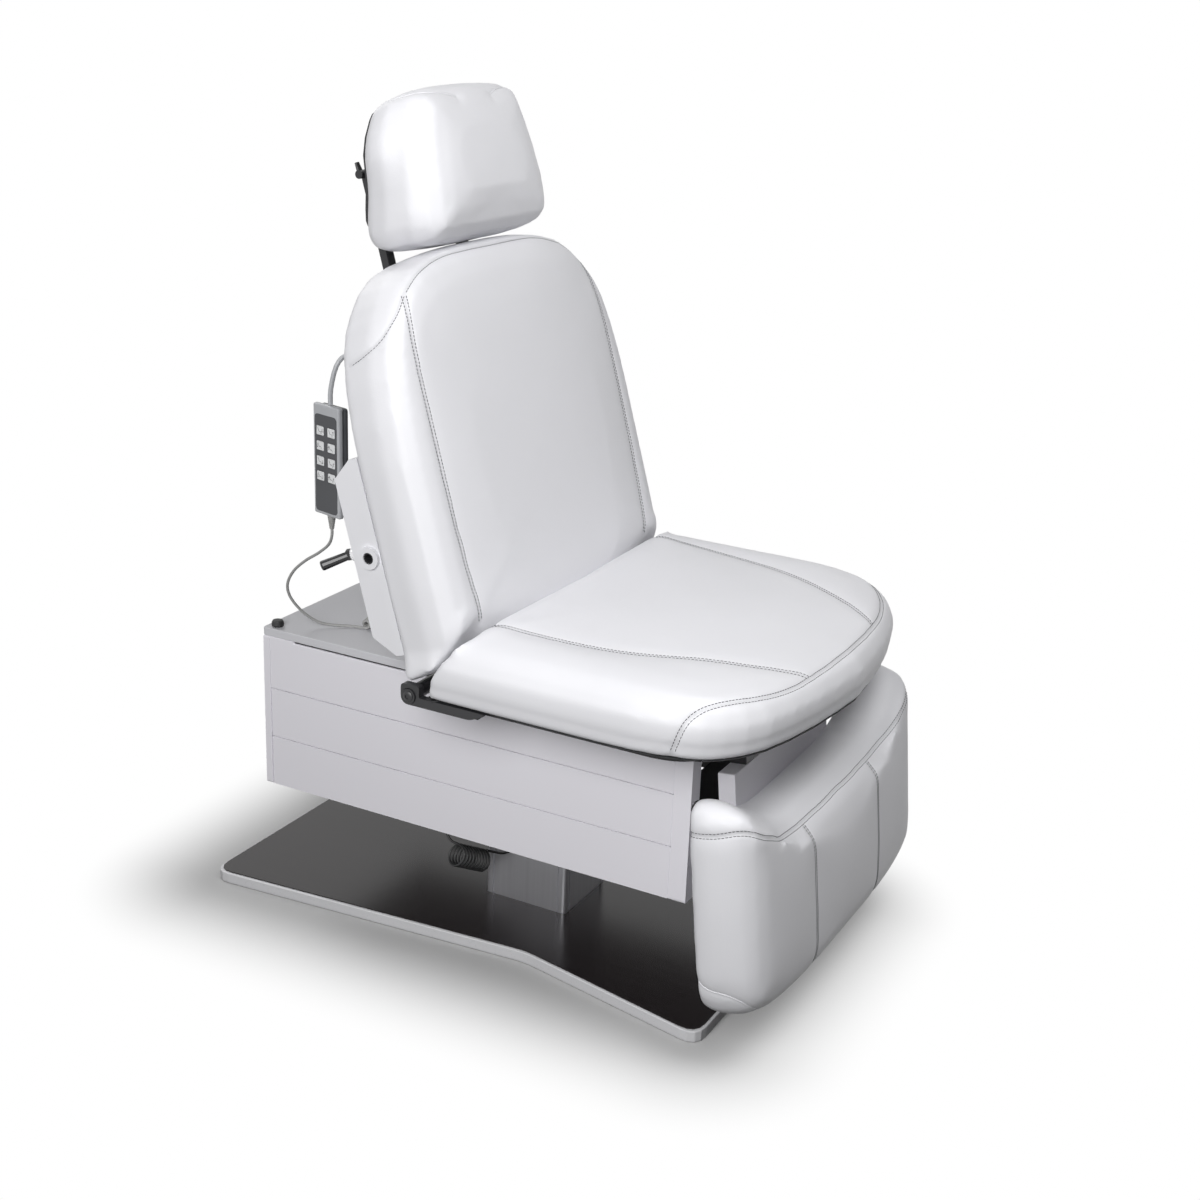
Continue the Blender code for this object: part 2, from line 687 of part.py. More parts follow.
def build_enclosure():
    edges = (CHASSIS_TOP_Z, *PANEL_SPLITS_Z, BOX_BOTTOM_Z)
    for side_name, side in SIDES:
        for index, board in enumerate(("upper", "middle", "lower")):
            high = edges[index] - (PANEL_REVEAL if index else 0.0)
            low = edges[index + 1] + (PANEL_REVEAL if index < 2 else 0.0)
            side_board(f"side_panel_{side_name}_{board}", side, BOX_HALF - PANEL_SHY, low, high, index == 0)
        bumper = rod(f"deck_bumper_{side_name}", BUMPER_RADIUS,
                     (side * BUMPER_X, BUMPER_Y, DECK_TOP_Z + GAP),
                     (side * BUMPER_X, BUMPER_Y, DECK_TOP_Z + GAP + BUMPER_HEIGHT), RUBBER,
                     tip_radius=BUMPER_RADIUS * 0.86)
        round_edges(bumper, 0.003)
    deck = [(BOX_HALF, DECK_FRONT_Y), (BOX_HALF, BOX_REAR_Y), (-BOX_HALF, BOX_REAR_Y), (-BOX_HALF, DECK_FRONT_Y)]
    ob = plate("deck", [fillet(deck, 0.004, 2)], DECK_THICK, WHITE_PANEL, (0, 0, DECK_TOP_Z - DECK_THICK / 2))
    round_edges(ob, 0.0015, 1)
    end = [(BOX_HALF, CHASSIS_TOP_Z), (-BOX_HALF, CHASSIS_TOP_Z), (-BOX_HALF, BOX_BOTTOM_Z), (BOX_HALF, BOX_BOTTOM_Z)]
    ob = plate("rear_end_panel", [fillet(end, 0.003, 2)], END_PANEL_THICK, WHITE_PANEL,
               (0, BOX_REAR_Y - END_PANEL_THICK / 2, 0), FRONT)
    round_edges(ob, PANEL_EDGE, 1)
    inner = BOX_HALF - FRONT_POST_WIDTH
    window = [(inner, CHASSIS_TOP_Z - FRONT_RAIL_HEIGHT), (-inner, CHASSIS_TOP_Z - FRONT_RAIL_HEIGHT),
              (-inner, BOX_BOTTOM_Z + FRONT_SILL_HEIGHT), (inner, BOX_BOTTOM_Z + FRONT_SILL_HEIGHT)]
    bores = [circle((side * CARRIAGE_ROD_X, LEG_PIVOT_Z), CARRIAGE_ROD_RADIUS + GAP, 16) for name, side in SIDES]
    ob = plate("front_end_frame", [fillet(end, 0.003, 2), fillet(window, 0.004, 2), *bores], FRONT_POST_DEPTH,
               WHITE_PANEL, (0, BOX_FRONT_Y + FRONT_POST_DEPTH / 2, 0), FRONT)
    wall = -(BOX_HALF - PANEL_SHY - PANEL_THICK - GAP)
    block("control_box", (wall, -CONTROL_LENGTH / 2, CONTROL_BOTTOM_Z),
          (wall + CONTROL_WIDTH, CONTROL_LENGTH / 2, CONTROL_BOTTOM_Z + CONTROL_HEIGHT), BLACK_PLASTIC, edge=0.004)


# Seat

def seat_outline(wing):
    """The seat in plan: a bowed front, and at wing 1 the low wings beside the back rest."""
    half = SEAT_HALF
    front = SEAT_FRONT_Y
    rear = SEAT_REAR_Y

    def blend(plain_y, wing_y):
        return plain_y + (wing_y - plain_y) * wing

    points = [(0, front), (half * 0.36, front + 0.012), (half * 0.700, front + 0.038), (half * 0.880, front + 0.076),
              (half * 0.958, front + 0.120), (half * 0.996, front + 0.190), (half, front + 0.300),
              (half * 0.996, blend(rear + 0.002, SEAT_WING_Y - 0.020)), (half * 0.972, blend(rear + 0.014, SEAT_WING_Y)),
              (half * 0.91, blend(rear + 0.002, SEAT_WING_Y - 0.016)), (half * 0.74, blend(rear, rear + 0.004)),
              (half * 0.42, rear), (0, rear)]
    return mirrored(curve_through([Vector(p) for p in points], 2))


def build_seat():
    half = SEAT_BOARD_HALF
    wing = half - 0.048
    right = [(0, SEAT_BOARD_FRONT_Y), (half * 0.62, SEAT_BOARD_FRONT_Y + 0.022), (half, SEAT_BOARD_SIDE_Y),
             (half, SEAT_BOARD_WING_Y, 0.010), (wing, SEAT_BOARD_WING_Y, 0.010), (wing - 0.020, SEAT_BOARD_REAR_Y, 0.010)]
    board = right + [(-p[0], *p[1:]) for p in reversed(right[1:])]
    low = CHASSIS_TOP_Z + GAP
    plate("seat_board", [fillet(board, SEAT_BOARD_CORNER, 6)], SEAT_BOARD_THICK, BLACK_BOARD,
          (0, 0, low + SEAT_BOARD_THICK / 2))
    lean = math.tan(BACK_LEAN)

    def settle(p):
        rear = ease(SEAT_FRONT_Y * 0.55, SEAT_REAR_Y, p.y)
        drop = SEAT_FRONT_DROP * ease(-SEAT_FRONT_Y * 0.6, -SEAT_FRONT_Y, -p.y) * ease(0.0, SEAT_THICK, p.z)
        tuck = SEAT_TUCK * ease(SEAT_THICK * 0.67, SEAT_THICK * 0.89, p.z) * ease(SEAT_REAR_Y - 0.10, SEAT_REAR_Y - 0.02, p.y)
        limit = SEAT_WING_Y - 0.004 - SEAT_WING_SLOPE * max(0.0, p.z - SEAT_WING_HEIGHT)
        limit += 0.03 * (1.0 - ease(SEAT_WING_X, SEAT_WING_X + 0.017, abs(p.x)))
        return Vector((p.x, min(p.y + rear * lean * p.z + tuck, limit), p.z - drop))

    levels = [(0.012, 0.0), (0.003, 0.009), (-0.004, 0.030), (-0.003, 0.055), (0.008, 0.078), (0.026, 0.0905)]
    crown = [(0.88, 0.0955), (0.62, SEAT_THICK - 0.0025), (0.30, SEAT_THICK - 0.0005), (0.0, SEAT_THICK)]

    def outline(height):
        above = (height - SEAT_WING_HEIGHT) / (SEAT_THICK * 0.87 - SEAT_WING_HEIGHT)
        return seat_outline(1.0 - 0.21 * min(1.0, height / SEAT_WING_HEIGHT) - 0.79 * min(1.0, max(0.0, above)))

    def square_rear(p):
        return 1.0 - 0.85 * ease(SEAT_REAR_Y - 0.09, SEAT_REAR_Y - 0.02, p.y)

    pad("seat_cushion", outline, levels, crown, UPHOLSTERY, (0, 0, SEAT_BOTTOM_Z), PLAN, None, settle, square_rear)
    for side_name, side in SIDES:
        high = SEAT_BOTTOM_Z - 2 * GAP
        arm = [(BACK_PIVOT_Y + HINGE_EYE, BACK_PIVOT_Z + HINGE_NECK, 0.006),
               (BACK_PIVOT_Y - HINGE_NECK, BACK_PIVOT_Z + HINGE_NECK, 0.004),
               (BACK_PIVOT_Y - HINGE_NECK, high, 0.002), (HINGE_FRONT_Y, high, 0.003),
               (HINGE_FRONT_Y + 0.03, HINGE_LOW_Z, 0.03), (BACK_PIVOT_Y + HINGE_EYE, HINGE_LOW_Z, HINGE_EYE)]
        bore = circle((BACK_PIVOT_Y, BACK_PIVOT_Z), TORSION_RADIUS + RUN)
        hinge = plate(f"seat_hinge_{side_name}", [fillet(arm, 0.003, 5), bore], HINGE_PLATE, BLACK_STEEL,
                      (side * (HINGE_X + HINGE_PLATE / 2), 0, 0), SIDE)
        tab = sorted((side * (SEAT_BOARD_HALF + GAP), side * (HINGE_X + HINGE_PLATE / 2)))
        fuse(hinge, block(f"seat_hinge_{side_name} tab", (tab[0], HINGE_FRONT_Y + 0.020, low + 0.005),
                          (tab[1], SEAT_BOARD_WING_Y - 0.012, low + SEAT_BOARD_THICK - 0.002), BLACK_STEEL))


# Back rest

def back_outline(shrink=0.0, corner=0.030):
    half = BACK_HALF
    top = BACK_TOP
    low = BACK_BOTTOM
    points = [(0, low), (half * 0.84, low), (half * 0.965, low + corner * 0.15), (half, low + corner), (half, top * 0.42),
              (half * 0.987, top - 0.210), (half * 0.925, top - 0.112), (half * 0.80, top - 0.056),
              (half * 0.62, top - 0.018), (half * 0.33, top - 0.002), (0, top)]
    return inset(mirrored(curve_through([Vector(p) for p in points], 2)), shrink)


def build_back():
    front_of_board = BACK_REAR - BACK_BOARD_THICK
    plate("back_board", [back_outline(BACK_BOARD_INSET, 0.062)], BACK_BOARD_THICK, BLACK_BOARD,
          (0, BACK_REAR - BACK_BOARD_THICK / 2, 0), FRONT, BACK)
    thick = BACK_THICK
    rim = BACK_RIM
    wide = BACK_RIM_WIDTH
    levels = [(wide + 0.002, 0.0), (wide, 0.004 - rim), (wide - 0.006, -rim), (0.010, -rim), (0.001, 0.008 - rim),
              (-0.004, 0.016), (0.000, 0.047), (0.015, thick - 0.0125), (0.042, thick - 0.0055)]
    crown = [(0.66, thick - 0.002), (0.33, thick - 0.0005), (0.0, thick)]

    def open_foot(p):
        share = max(ease(0.215, 0.268, abs(p.x)), ease(0.07, 0.13, p.y))
        room = max(0.0, BACK_FOOT + BACK_FOOT_SLOPE * (p.z - BACK_FOOT_START) - BACK_BOTTOM)
        low = BACK_BOTTOM + room * ease(SEAT_WING_X - 0.030, SEAT_WING_X, abs(p.x))
        high = p.y
        if p.y < BACK_FOOT_TOP:
            high = low + (p.y - BACK_BOTTOM) * (BACK_FOOT_TOP - low) / (BACK_FOOT_TOP - BACK_BOTTOM)
        return Vector((p.x, high, p.z * share if p.z < 0 else p.z))

    pad("back_cushion", back_outline(), levels, crown, UPHOLSTERY, (0, front_of_board - GAP, 0), FRONT, BACK, open_foot)

    reach = HINGE_X + HINGE_PLATE + 0.002
    frame = rod("back_frame", TORSION_RADIUS, (-reach, 0, 0), (reach, 0, 0), BLACK_STEEL, BACK)
    pieces = []
    for side_name, side in SIDES:
        pieces.append(block(f"back_frame upright {side_name}",
                            (side * UPRIGHT_X - UPRIGHT_WIDTH / 2, BACK_REAR + GAP, -0.004),
                            (side * UPRIGHT_X + UPRIGHT_WIDTH / 2, BACK_REAR + GAP + UPRIGHT_THICK, UPRIGHT_TOP),
                            BLACK_STEEL, BACK))
    aim = BACK_TRAVEL / 2 + BACK_LEAN
    pin = Vector((math.sin(aim), -math.cos(aim))) * CRANK_RADIUS
    across = Vector((-pin.y, pin.x)).normalized() * CRANK_EYE
    lever = [Vector((0, 0)) + across, Vector((0, 0)) - across, pin - across, pin + across]
    crank = fillet([(*lever[0], 0.0), (*lever[1], 0.0), (*lever[2], CRANK_EYE), (*lever[3], CRANK_EYE)], 0.0, 5)
    pieces.append(plate("back_frame crank", [crank], CRANK_PLATE, BLACK_STEEL, (CRANK_X, 0, 0), SIDE, BACK))
    pieces.append(rod("back_frame pin", PIN_RADIUS, (CRANK_X, *pin), (CRANK_X + CRANK_PLATE / 2 + CRANK_STUB, *pin),
                      BLACK_STEEL, BACK, sides=12))
    fuse(frame, *pieces)


def build_arm_brackets():
    face = BACK_REAR - BACK_BOARD_THICK + BACK_RIM + GAP
    outline = [(face, BRACKET_BOTTOM), (SOCKET_Y - 0.004, BRACKET_BOTTOM, 0.004),
               (BRACKET_REAR, BRACKET_BOTTOM + 0.030, 0.006), (BRACKET_REAR - 0.001, BRACKET_TOP - 0.024, 0.003),
               (SOCKET_Y - 0.004, BRACKET_TOP, 0.004), (face, BRACKET_TOP)]
    for side_name, side in SIDES:
        bracket = plate(f"arm_bracket_{side_name}", [fillet(outline, 0.001)], BRACKET_THICK, WHITE_STEEL,
                        (side * BRACKET_X, 0, 0), SIDE, BACK)
        near = sorted((side * BRACKET_X, side * BRACKET_FOOT_X))
        strip = block(f"arm_bracket_{side_name} strip", (near[0], face, BRACKET_BOTTOM + 0.020),
                      (near[1], face + 0.006, BRACKET_TOP - 0.020), WHITE_STEEL, BACK)
        pad_x = sorted((side * BRACKET_FOOT_X, side * (BRACKET_FOOT_X + 0.028)))
        foot = block(f"arm_bracket_{side_name} foot", (pad_x[0], BACK_REAR + GAP, BRACKET_BOTTOM + 0.024),
                     (pad_x[1], face + 0.003, BRACKET_TOP - 0.024), WHITE_STEEL, BACK)
        fuse(bracket, strip, foot)
        outside = side * (BRACKET_X + BRACKET_THICK / 2 + SOCKET_BOSS_PROUD)
        inside = side * (BRACKET_X - BRACKET_THICK / 2)
        boss = rod(f"arm_bracket_{side_name} boss", SOCKET_BOSS, (side * BRACKET_X, SOCKET_Y, SOCKET_Z),
                   (outside, SOCKET_Y, SOCKET_Z), WHITE_STEEL, BACK, SOCKET_BOSS * 0.9)
        bore = rod(f"arm_bracket_{side_name} bore", SOCKET_RADIUS,
                   (inside - side * 0.004, SOCKET_Y, SOCKET_Z), (outside + side * 0.004, SOCKET_Y, SOCKET_Z),
                   WHITE_STEEL, BACK)
        fuse(bracket, boss)
        cut(bracket, bore)
        stud = BRACKET_REAR + GAP
        end = stud + LEVER_HUB_LENGTH
        lever = rod(f"clamp_lever_{side_name}", LEVER_HUB_RADIUS, (side * BRACKET_X, stud, LEVER_Z),
                    (side * BRACKET_X, end, LEVER_Z), BRIGHT_STEEL, BACK, sides=16)
        arm_way = Vector((side * math.cos(LEVER_ARM_TILT), math.sin(LEVER_ARM_TILT), -0.15)).normalized()
        root = Vector((side * BRACKET_X, end - 0.005, LEVER_Z))
        arm = rod(f"clamp_lever_{side_name} arm", LEVER_ARM_RADIUS * 0.8, root, root + arm_way * LEVER_ARM_LENGTH,
                  BLACK_PLASTIC, BACK, LEVER_ARM_RADIUS, 12)
        round_edges(arm, 0.003)
        fuse(lever, arm)


# Head rest

def head_outline(shrink=0.0):
    low = HEAD_BOTTOM_Z
    top = HEAD_TOP_Z
    wide = HEAD_LOW_HALF
    narrow = HEAD_HIGH_HALF
    points = [(0, low), (wide * 0.74, low + 0.001), (wide * 0.95, low + 0.016), (wide, low + 0.048),
              ((wide + narrow) / 2 + 0.014, (low + top) / 2 + 0.016), (narrow * 1.12, top - 0.032),
              (narrow * 0.96, top - 0.009), (narrow * 0.6, top - 0.002), (0, top)]
    return inset(mirrored(curve_through([Vector(p) for p in points], 2)), shrink)


def build_head():
    pieces = []
    for side_name, side in SIDES:
        pieces.append(block(f"headrest_posts {side_name}",
                            (side * POST_X - POST_WIDTH / 2, POST_OFFSET - POST_THICK / 2, POST_BOTTOM),
                            (side * POST_X + POST_WIDTH / 2, POST_OFFSET + POST_THICK / 2, HEAD_AXIS + POST_THICK / 2),
                            BRIGHT_STEEL, BACK))
    cross = rod("headrest_posts", HEAD_ROD_RADIUS, (-POST_X, POST_OFFSET, HEAD_AXIS), (POST_X, POST_OFFSET, HEAD_AXIS),
                BRIGHT_STEEL, BACK, sides=16)
    fuse(cross, *pieces)

    face = BACK_REAR + GAP
    guide = block("headrest_guide", (-POST_X, face, GUIDE_BOTTOM), (POST_X, face + GUIDE_WEB, GUIDE_TOP), BLACK_PLASTIC,
                  BACK)
    for side_name, side in SIDES:
        half = POST_WIDTH / 2 + GUIDE_WALL
        rear = POST_OFFSET + POST_THICK / 2
        sleeve = block(f"headrest_guide sleeve {side_name}", (side * POST_X - half, face, GUIDE_BOTTOM),
                       (side * POST_X + half, rear + GUIDE_WALL, GUIDE_TOP), BLACK_PLASTIC, BACK)
        slot = block(f"headrest_guide slot {side_name}",
                     (side * POST_X - POST_WIDTH / 2 - RUN, POST_OFFSET - POST_THICK / 2 - RUN, GUIDE_BOTTOM - 0.01),
                     (side * POST_X + POST_WIDTH / 2 + RUN, rear + RUN, GUIDE_TOP + 0.01), BLACK_PLASTIC, BACK)
        fuse(guide, sleeve)
        cut(guide, slot)

    front = HEAD_COVER_REAR_Y - HEAD_COVER_THICK
    cover_line = [Vector((p.x, p.y - HEAD_TOP_SLOPE * ease(HEAD_TOP_Z - 0.06, HEAD_TOP_Z, p.y)))
                  for p in head_outline(HEAD_COVER_INSET)]
    cover = plate("headrest_cover", [cover_line], HEAD_COVER_THICK, BLACK_PLASTIC,
                  (0, HEAD_COVER_REAR_Y - HEAD_COVER_THICK / 2, 0), FRONT)
    for side_name, side in SIDES:
        eye = HEAD_LUG_EYE
        axis_y, axis_z = HEAD_POINT.y, HEAD_POINT.z
        root = HEAD_COVER_REAR_Y - HEAD_COVER_THICK / 2
        ear = [(root, axis_z - 1.6 * eye), (axis_y + eye, axis_z - eye, eye), (axis_y + eye, axis_z + eye, eye),
               (root, axis_z + 1.6 * eye)]
        lug = plate(f"headrest_cover lug {side_name}", [fillet(ear, 0.0, 5)], HEAD_LUG_THICK, BLACK_PLASTIC,
                    (side * HEAD_LUG_X, 0, 0), SIDE)
        fuse(cover, lug)
    reach = HEAD_LUG_X + HEAD_LUG_THICK
    bore = rod("headrest_cover bore", HEAD_ROD_RADIUS + RUN, (-reach, HEAD_POINT.y, HEAD_POINT.z),
               (reach, HEAD_POINT.y, HEAD_POINT.z), BLACK_PLASTIC, sides=16)
    cut(cover, bore)

    thick = HEAD_THICK
    levels = [(0.012, 0.0), (0.002, 0.010), (-0.003, 0.036), (0.000, thick - 0.048), (0.010, thick - 0.022),
              (0.026, thick - 0.008), (0.050, thick - 0.003)]
    crown = [(0.6, thick - 0.001), (0.0, thick)]

    def taper(p):
        depth = p.z * (1.0 - HEAD_TAPER * ease(HEAD_BOTTOM_Z + 0.02, HEAD_TOP_Z + 0.03, p.y))
        slope = HEAD_TOP_SLOPE * (1.0 - p.z / thick) * ease(HEAD_TOP_Z - 0.06, HEAD_TOP_Z, p.y)
        return Vector((p.x, p.y - slope, depth))

    pad("headrest_cushion", head_outline(), levels, crown, UPHOLSTERY, (0, front - GAP, 0), FRONT, None, taper)

    outside = -(POST_X + POST_WIDTH / 2 + GAP)
    lever = rod("headrest_lever", HEAD_LEVER_RADIUS, (outside, HEAD_POINT.y, HEAD_POINT.z),
                (outside - HEAD_LEVER_WIDTH, HEAD_POINT.y, HEAD_POINT.z), GREY_PLASTIC, sides=16)
    handle = rod("headrest_lever handle", HEAD_LEVER_RADIUS * 0.7,
                 (outside - HEAD_LEVER_WIDTH / 2, HEAD_POINT.y + 0.002, HEAD_POINT.z + 0.002),
                 (outside - HEAD_LEVER_WIDTH / 2, HEAD_POINT.y + 0.010, HEAD_POINT.z + HEAD_LEVER_LENGTH), GREY_PLASTIC,
                 None, HEAD_LEVER_RADIUS * 0.5, 12)
    fuse(lever, handle)


# Leg rest on its carriage

def leg_outline():
    """Half of the pad: lobes stand up at both sides of a lower middle."""
    half = LEG_HALF
    top = LEG_TOP
    crest = LEG_TOP + LEG_LOBE
    low = LEG_BOTTOM
    points = [(0, low), (half * 0.40, low), (half * 0.70, low + 0.004), (half * 0.90, low + 0.018),
              (half * 0.985, low + 0.052), (half, low + 0.120), (half, top - 0.040), (half * 0.995, crest - 0.026),
              (half * 0.95, crest - 0.004), (half * 0.88, crest - 0.002), (half * 0.78, crest - 0.018),
              (half * 0.62, top + 0.016), (half * 0.44, top + 0.002), (half * 0.22, top), (0, top)]
    return mirrored(curve_through([Vector(p) for p in points], 2))


def build_leg():
    thick = LEG_THICK

    def slant(p):
        share = ease(LEG_TOP - 0.15, LEG_TOP, p.y) * (1.0 - 0.75 * ease(0.18, 0.28, abs(p.x)))
        return Vector((p.x, p.y - share * LEG_TOP_SLANT * p.z / thick, p.z - 0.010 * (abs(p.x) / LEG_HALF) ** 2
                       * p.z / thick))

    levels = [(0.008, 0.0), (0.001, 0.008), (-0.002, 0.030), (0.002, 0.056), (0.010, 0.080), (0.026, 0.0950),
              (0.048, 0.1010)]
    crown = [(0.6, thick - 0.001), (0.0, thick)]
    pad("leg_cushion", leg_outline(), levels, crown, UPHOLSTERY, (0, LEG_REAR, 0), FRONT, LEG, slant)

    face = LEG_REAR + GAP
    half = LEG_BOARD_HALF
    board = [(half, LEG_BOARD_TOP), (-half, LEG_BOARD_TOP), (-half, LEG_BOARD_BOTTOM), (half, LEG_BOARD_BOTTOM)]
    ob = plate("leg_board", [fillet(board, 0.002, 2)], LEG_BOARD_THICK, WHITE_PANEL,
               (0, face + LEG_BOARD_THICK / 2, 0), FRONT, LEG)
    round_edges(ob, 0.0012, 1)

    reach = CARRIAGE_LUG_X + CARRIAGE_LUG_PLATE / 2 + 0.0003
    yoke = rod("leg_yoke", LEG_JOURNAL, (-reach, 0, 0), (reach, 0, 0), BLACK_STEEL, LEG)
    sole = LEG_BOARD_TOP + GAP
    keyhole = [(face, sole), (face + LEG_BOARD_THICK, sole), (face + LEG_BOARD_THICK, sole + LEG_YOKE_FOOT),
               (face + 0.010, sole + LEG_YOKE_FOOT + 0.006), (LEG_JOURNAL * 0.8, 0.0), (-LEG_JOURNAL * 0.8, 0.0),
               (face, sole + 0.014)]
    fuse(yoke, plate("leg_yoke bar", [fillet(keyhole, 0.001, 1)], 2 * LEG_YOKE_HALF, BLACK_STEEL, (0, 0, 0), SIDE, LEG))

    rear = CARRIAGE_BAR_REAR_Y
    front = CARRIAGE_BAR_FRONT_Y
    middle = LEG_PIVOT_Z
    rise = CARRIAGE_BAR_HEIGHT / 2
    carriage = block("leg_carriage", (-CARRIAGE_BAR_HALF, front, middle - rise), (CARRIAGE_BAR_HALF, rear, middle + rise),
                     BLACK_STEEL)
    eye = CARRIAGE_LUG_EYE
    ear = [(front + 0.004, middle - 0.9 * rise), (front + 0.004, middle + 0.9 * rise),
           (LEG_PIVOT_Y, middle + eye, 0.012), (LEG_PIVOT_Y - eye, middle + eye, eye),
           (LEG_PIVOT_Y - eye, middle - eye, eye), (LEG_PIVOT_Y, middle - eye, 0.012)]
    pieces = [block("leg_carriage tongue", (-CARRIAGE_TONGUE_HALF, front + 0.001, CARRIAGE_TONGUE_LOW_Z),
                    (CARRIAGE_TONGUE_HALF, rear - 0.001, middle), BLACK_STEEL)]
    for side_name, side in SIDES:
        bore = circle((LEG_PIVOT_Y, LEG_PIVOT_Z), LEG_JOURNAL + RUN)
        pieces.append(plate(f"leg_carriage lug {side_name}", [fillet(ear, 0.0, 5), bore], CARRIAGE_LUG_PLATE, BLACK_STEEL,
                            (side * CARRIAGE_LUG_X, 0, 0), SIDE))
        x = side * CARRIAGE_ROD_X
        pieces.append(rod(f"leg_carriage rod {side_name}", CARRIAGE_ROD_RADIUS, (x, rear - 0.005, middle),
                          (x, CARRIAGE_ROD_REAR_Y, middle), BLACK_STEEL, sides=16))
    fuse(carriage, *pieces)


# Linear actuators: a bored body and the rod that slides in it

def actuator(name, x, z, closed_y, mouth_y, motor_y, bore_length):
    """The body runs along Y from its closed end to its mouth; the motor hangs below it."""
    way = 1.0 if mouth_y > closed_y else -1.0
    body = rod(name, ACTUATOR_RADIUS, (x, closed_y, z), (x, mouth_y, z), BLACK_PLASTIC)
    low = z - MOTOR_DROP
    motor = rod(name + " motor", ACTUATOR_RADIUS * 0.9, (x, motor_y, low), (x, motor_y + way * MOTOR_LENGTH, low),
                BLACK_PLASTIC)
    half = ACTUATOR_RADIUS * 0.7
    ends = sorted((motor_y + way * 0.002, motor_y + way * 0.030))
    neck = block(name + " neck", (x - half, ends[0], low), (x + half, ends[1], z), BLACK_PLASTIC)
    fuse(body, motor, neck)
    cut(body, rod(name + " bore", ROD_RADIUS + RUN, (x, mouth_y + way * 0.01, z), (x, mouth_y - way * bore_length, z),
                  BLACK_PLASTIC, sides=16))
    return body


def build_actuators():
    aim = BACK_TRAVEL / 2
    pin_y = BACK_PIVOT_Y + CRANK_RADIUS * math.sin(aim)
    pin_z = BACK_PIVOT_Z - CRANK_RADIUS * math.cos(aim)
    stroke = 2 * CRANK_RADIUS * math.sin(aim)
    x = CRANK_X + CRANK_PLATE / 2 + CRANK_STUB + GAP + ROD_EYE_THICK / 2
    z = pin_z - 0.004
    closed = CHASSIS_FRONT_Y + CHASSIS_RAIL + GAP
    mouth = BACK_ACTUATOR_END_Y
    bore_length = 0.060 + stroke + BORE_SPARE
    actuator("back_actuator", x, z, closed, mouth, closed + 0.020, bore_length)
    shaft = rod("back_actuator_rod", ROD_RADIUS, (x, mouth - 0.060, z), (x, pin_y, z), BRIGHT_STEEL, sides=16)
    fuse(shaft, rod("back_actuator_rod eye", ROD_EYE, (x - ROD_EYE_THICK / 2, pin_y, z), (x + ROD_EYE_THICK / 2, pin_y, z),
                    BRIGHT_STEEL))

    z = LEG_ACTUATOR_Z
    body = actuator("leg_actuator", 0.0, z, LEG_ACTUATOR_REAR_Y, LEG_ACTUATOR_FRONT_Y, LEG_ACTUATOR_REAR_Y - 0.020,
                    (LEG_ACTUATOR_REAR_Y - LEG_ACTUATOR_FRONT_Y) - 0.015)
    bar_rear = CHASSIS_FRONT_Y + CHASSIS_RAIL
    saddle = block("leg_actuator saddle", (-0.020, bar_rear - 0.026, z + ACTUATOR_RADIUS * 0.6),
                   (0.020, bar_rear - 0.004, CHASSIS_BOTTOM_Z - GAP), BLACK_PLASTIC)
    fuse(body, saddle)
    rod("leg_actuator_rod", ROD_RADIUS, (0, LEG_ACTUATOR_REAR_Y - 0.020, z), (0, CARRIAGE_BAR_REAR_Y - 0.001 + GAP, z),
        BRIGHT_STEEL, sides=16)


# Hand control

def build_handset():
    length = HANDSET_LENGTH
    width = HANDSET_WIDTH
    split = 0.0
    block("handset_rear_shell", (split + GAP, -width / 2 + 0.002, -length / 2 + 0.002),
          (split + HANDSET_REAR_DEPTH, width / 2 - 0.002, length / 2 - 0.002), DARK_PLASTIC, HANDSET,
          HANDSET_CORNER * 0.8)
    face = split - HANDSET_FRONT_DEPTH
    front = block("handset_front_shell", (face, -width / 2, -length / 2), (split, width / 2, length / 2), GREY_PLASTIC,
                  HANDSET)
    wells = []
    for row in range(KEY_ROWS):
        for column, hand in enumerate((-1, 1)):
            y = hand * KEY_COLUMN_PITCH / 2
            z = length / 2 - KEY_FIRST_ROW - row * KEY_ROW_PITCH
            floor = face + KEY_DEPTH - KEY_PROUD + KEY_TRAVEL + RUN
            wells.append(block(f"well {row}{column}", (face - 0.01, y - KEY_WIDTH / 2 - GAP, z - KEY_HEIGHT / 2 - GAP),
                               (floor, y + KEY_WIDTH / 2 + GAP, z + KEY_HEIGHT / 2 + GAP), GREY_PLASTIC, HANDSET))
            key = block(f"key_{'lift back leg both'.split()[row]}_{'up down'.split()[column]}",
                        (face - KEY_PROUD, y - KEY_WIDTH / 2, z - KEY_HEIGHT / 2),
                        (face - KEY_PROUD + KEY_DEPTH, y + KEY_WIDTH / 2, z + KEY_HEIGHT / 2), KEY_PLASTIC, HANDSET)
            round_edges(key, 0.0006, 1)
    round_edges(front, HANDSET_CORNER * 0.45, 2)
    cut(front, *wells)
    foot = -length / 2 - GAP
    rod("handset_strain_relief", RELIEF_RADIUS, (0, 0, foot), (0, 0, foot - RELIEF_LENGTH), GREY_PLASTIC, HANDSET,
        HAND_CORD_RADIUS + 0.0008, 14)


    way = BACK.matrix_world.to_3x3() @ Vector((0, 1, 0))
    x, y, z = HANDSET_CENTRE
    end = BACK.matrix_world @ Vector((HANGER_END_X, BACK_REAR + GAP, HANGER_END_Z))
    top = z + length / 2 + GAP
    route = [(x, y, top), (x, y - 0.001, top + 0.022), (x + 0.004, y - 0.008, top + 0.055),
             (x + 0.016, end.y + 0.058, end.z - 0.022), end + way * 0.034, end + way * 0.012, end]
    tube("handset_hanger", curve_through(route, 3), HANGER_RADIUS, BLACK_STEEL, 2)


# Cords: the hand control's cord with its curl on the deck, and the mains cord under the enclosure

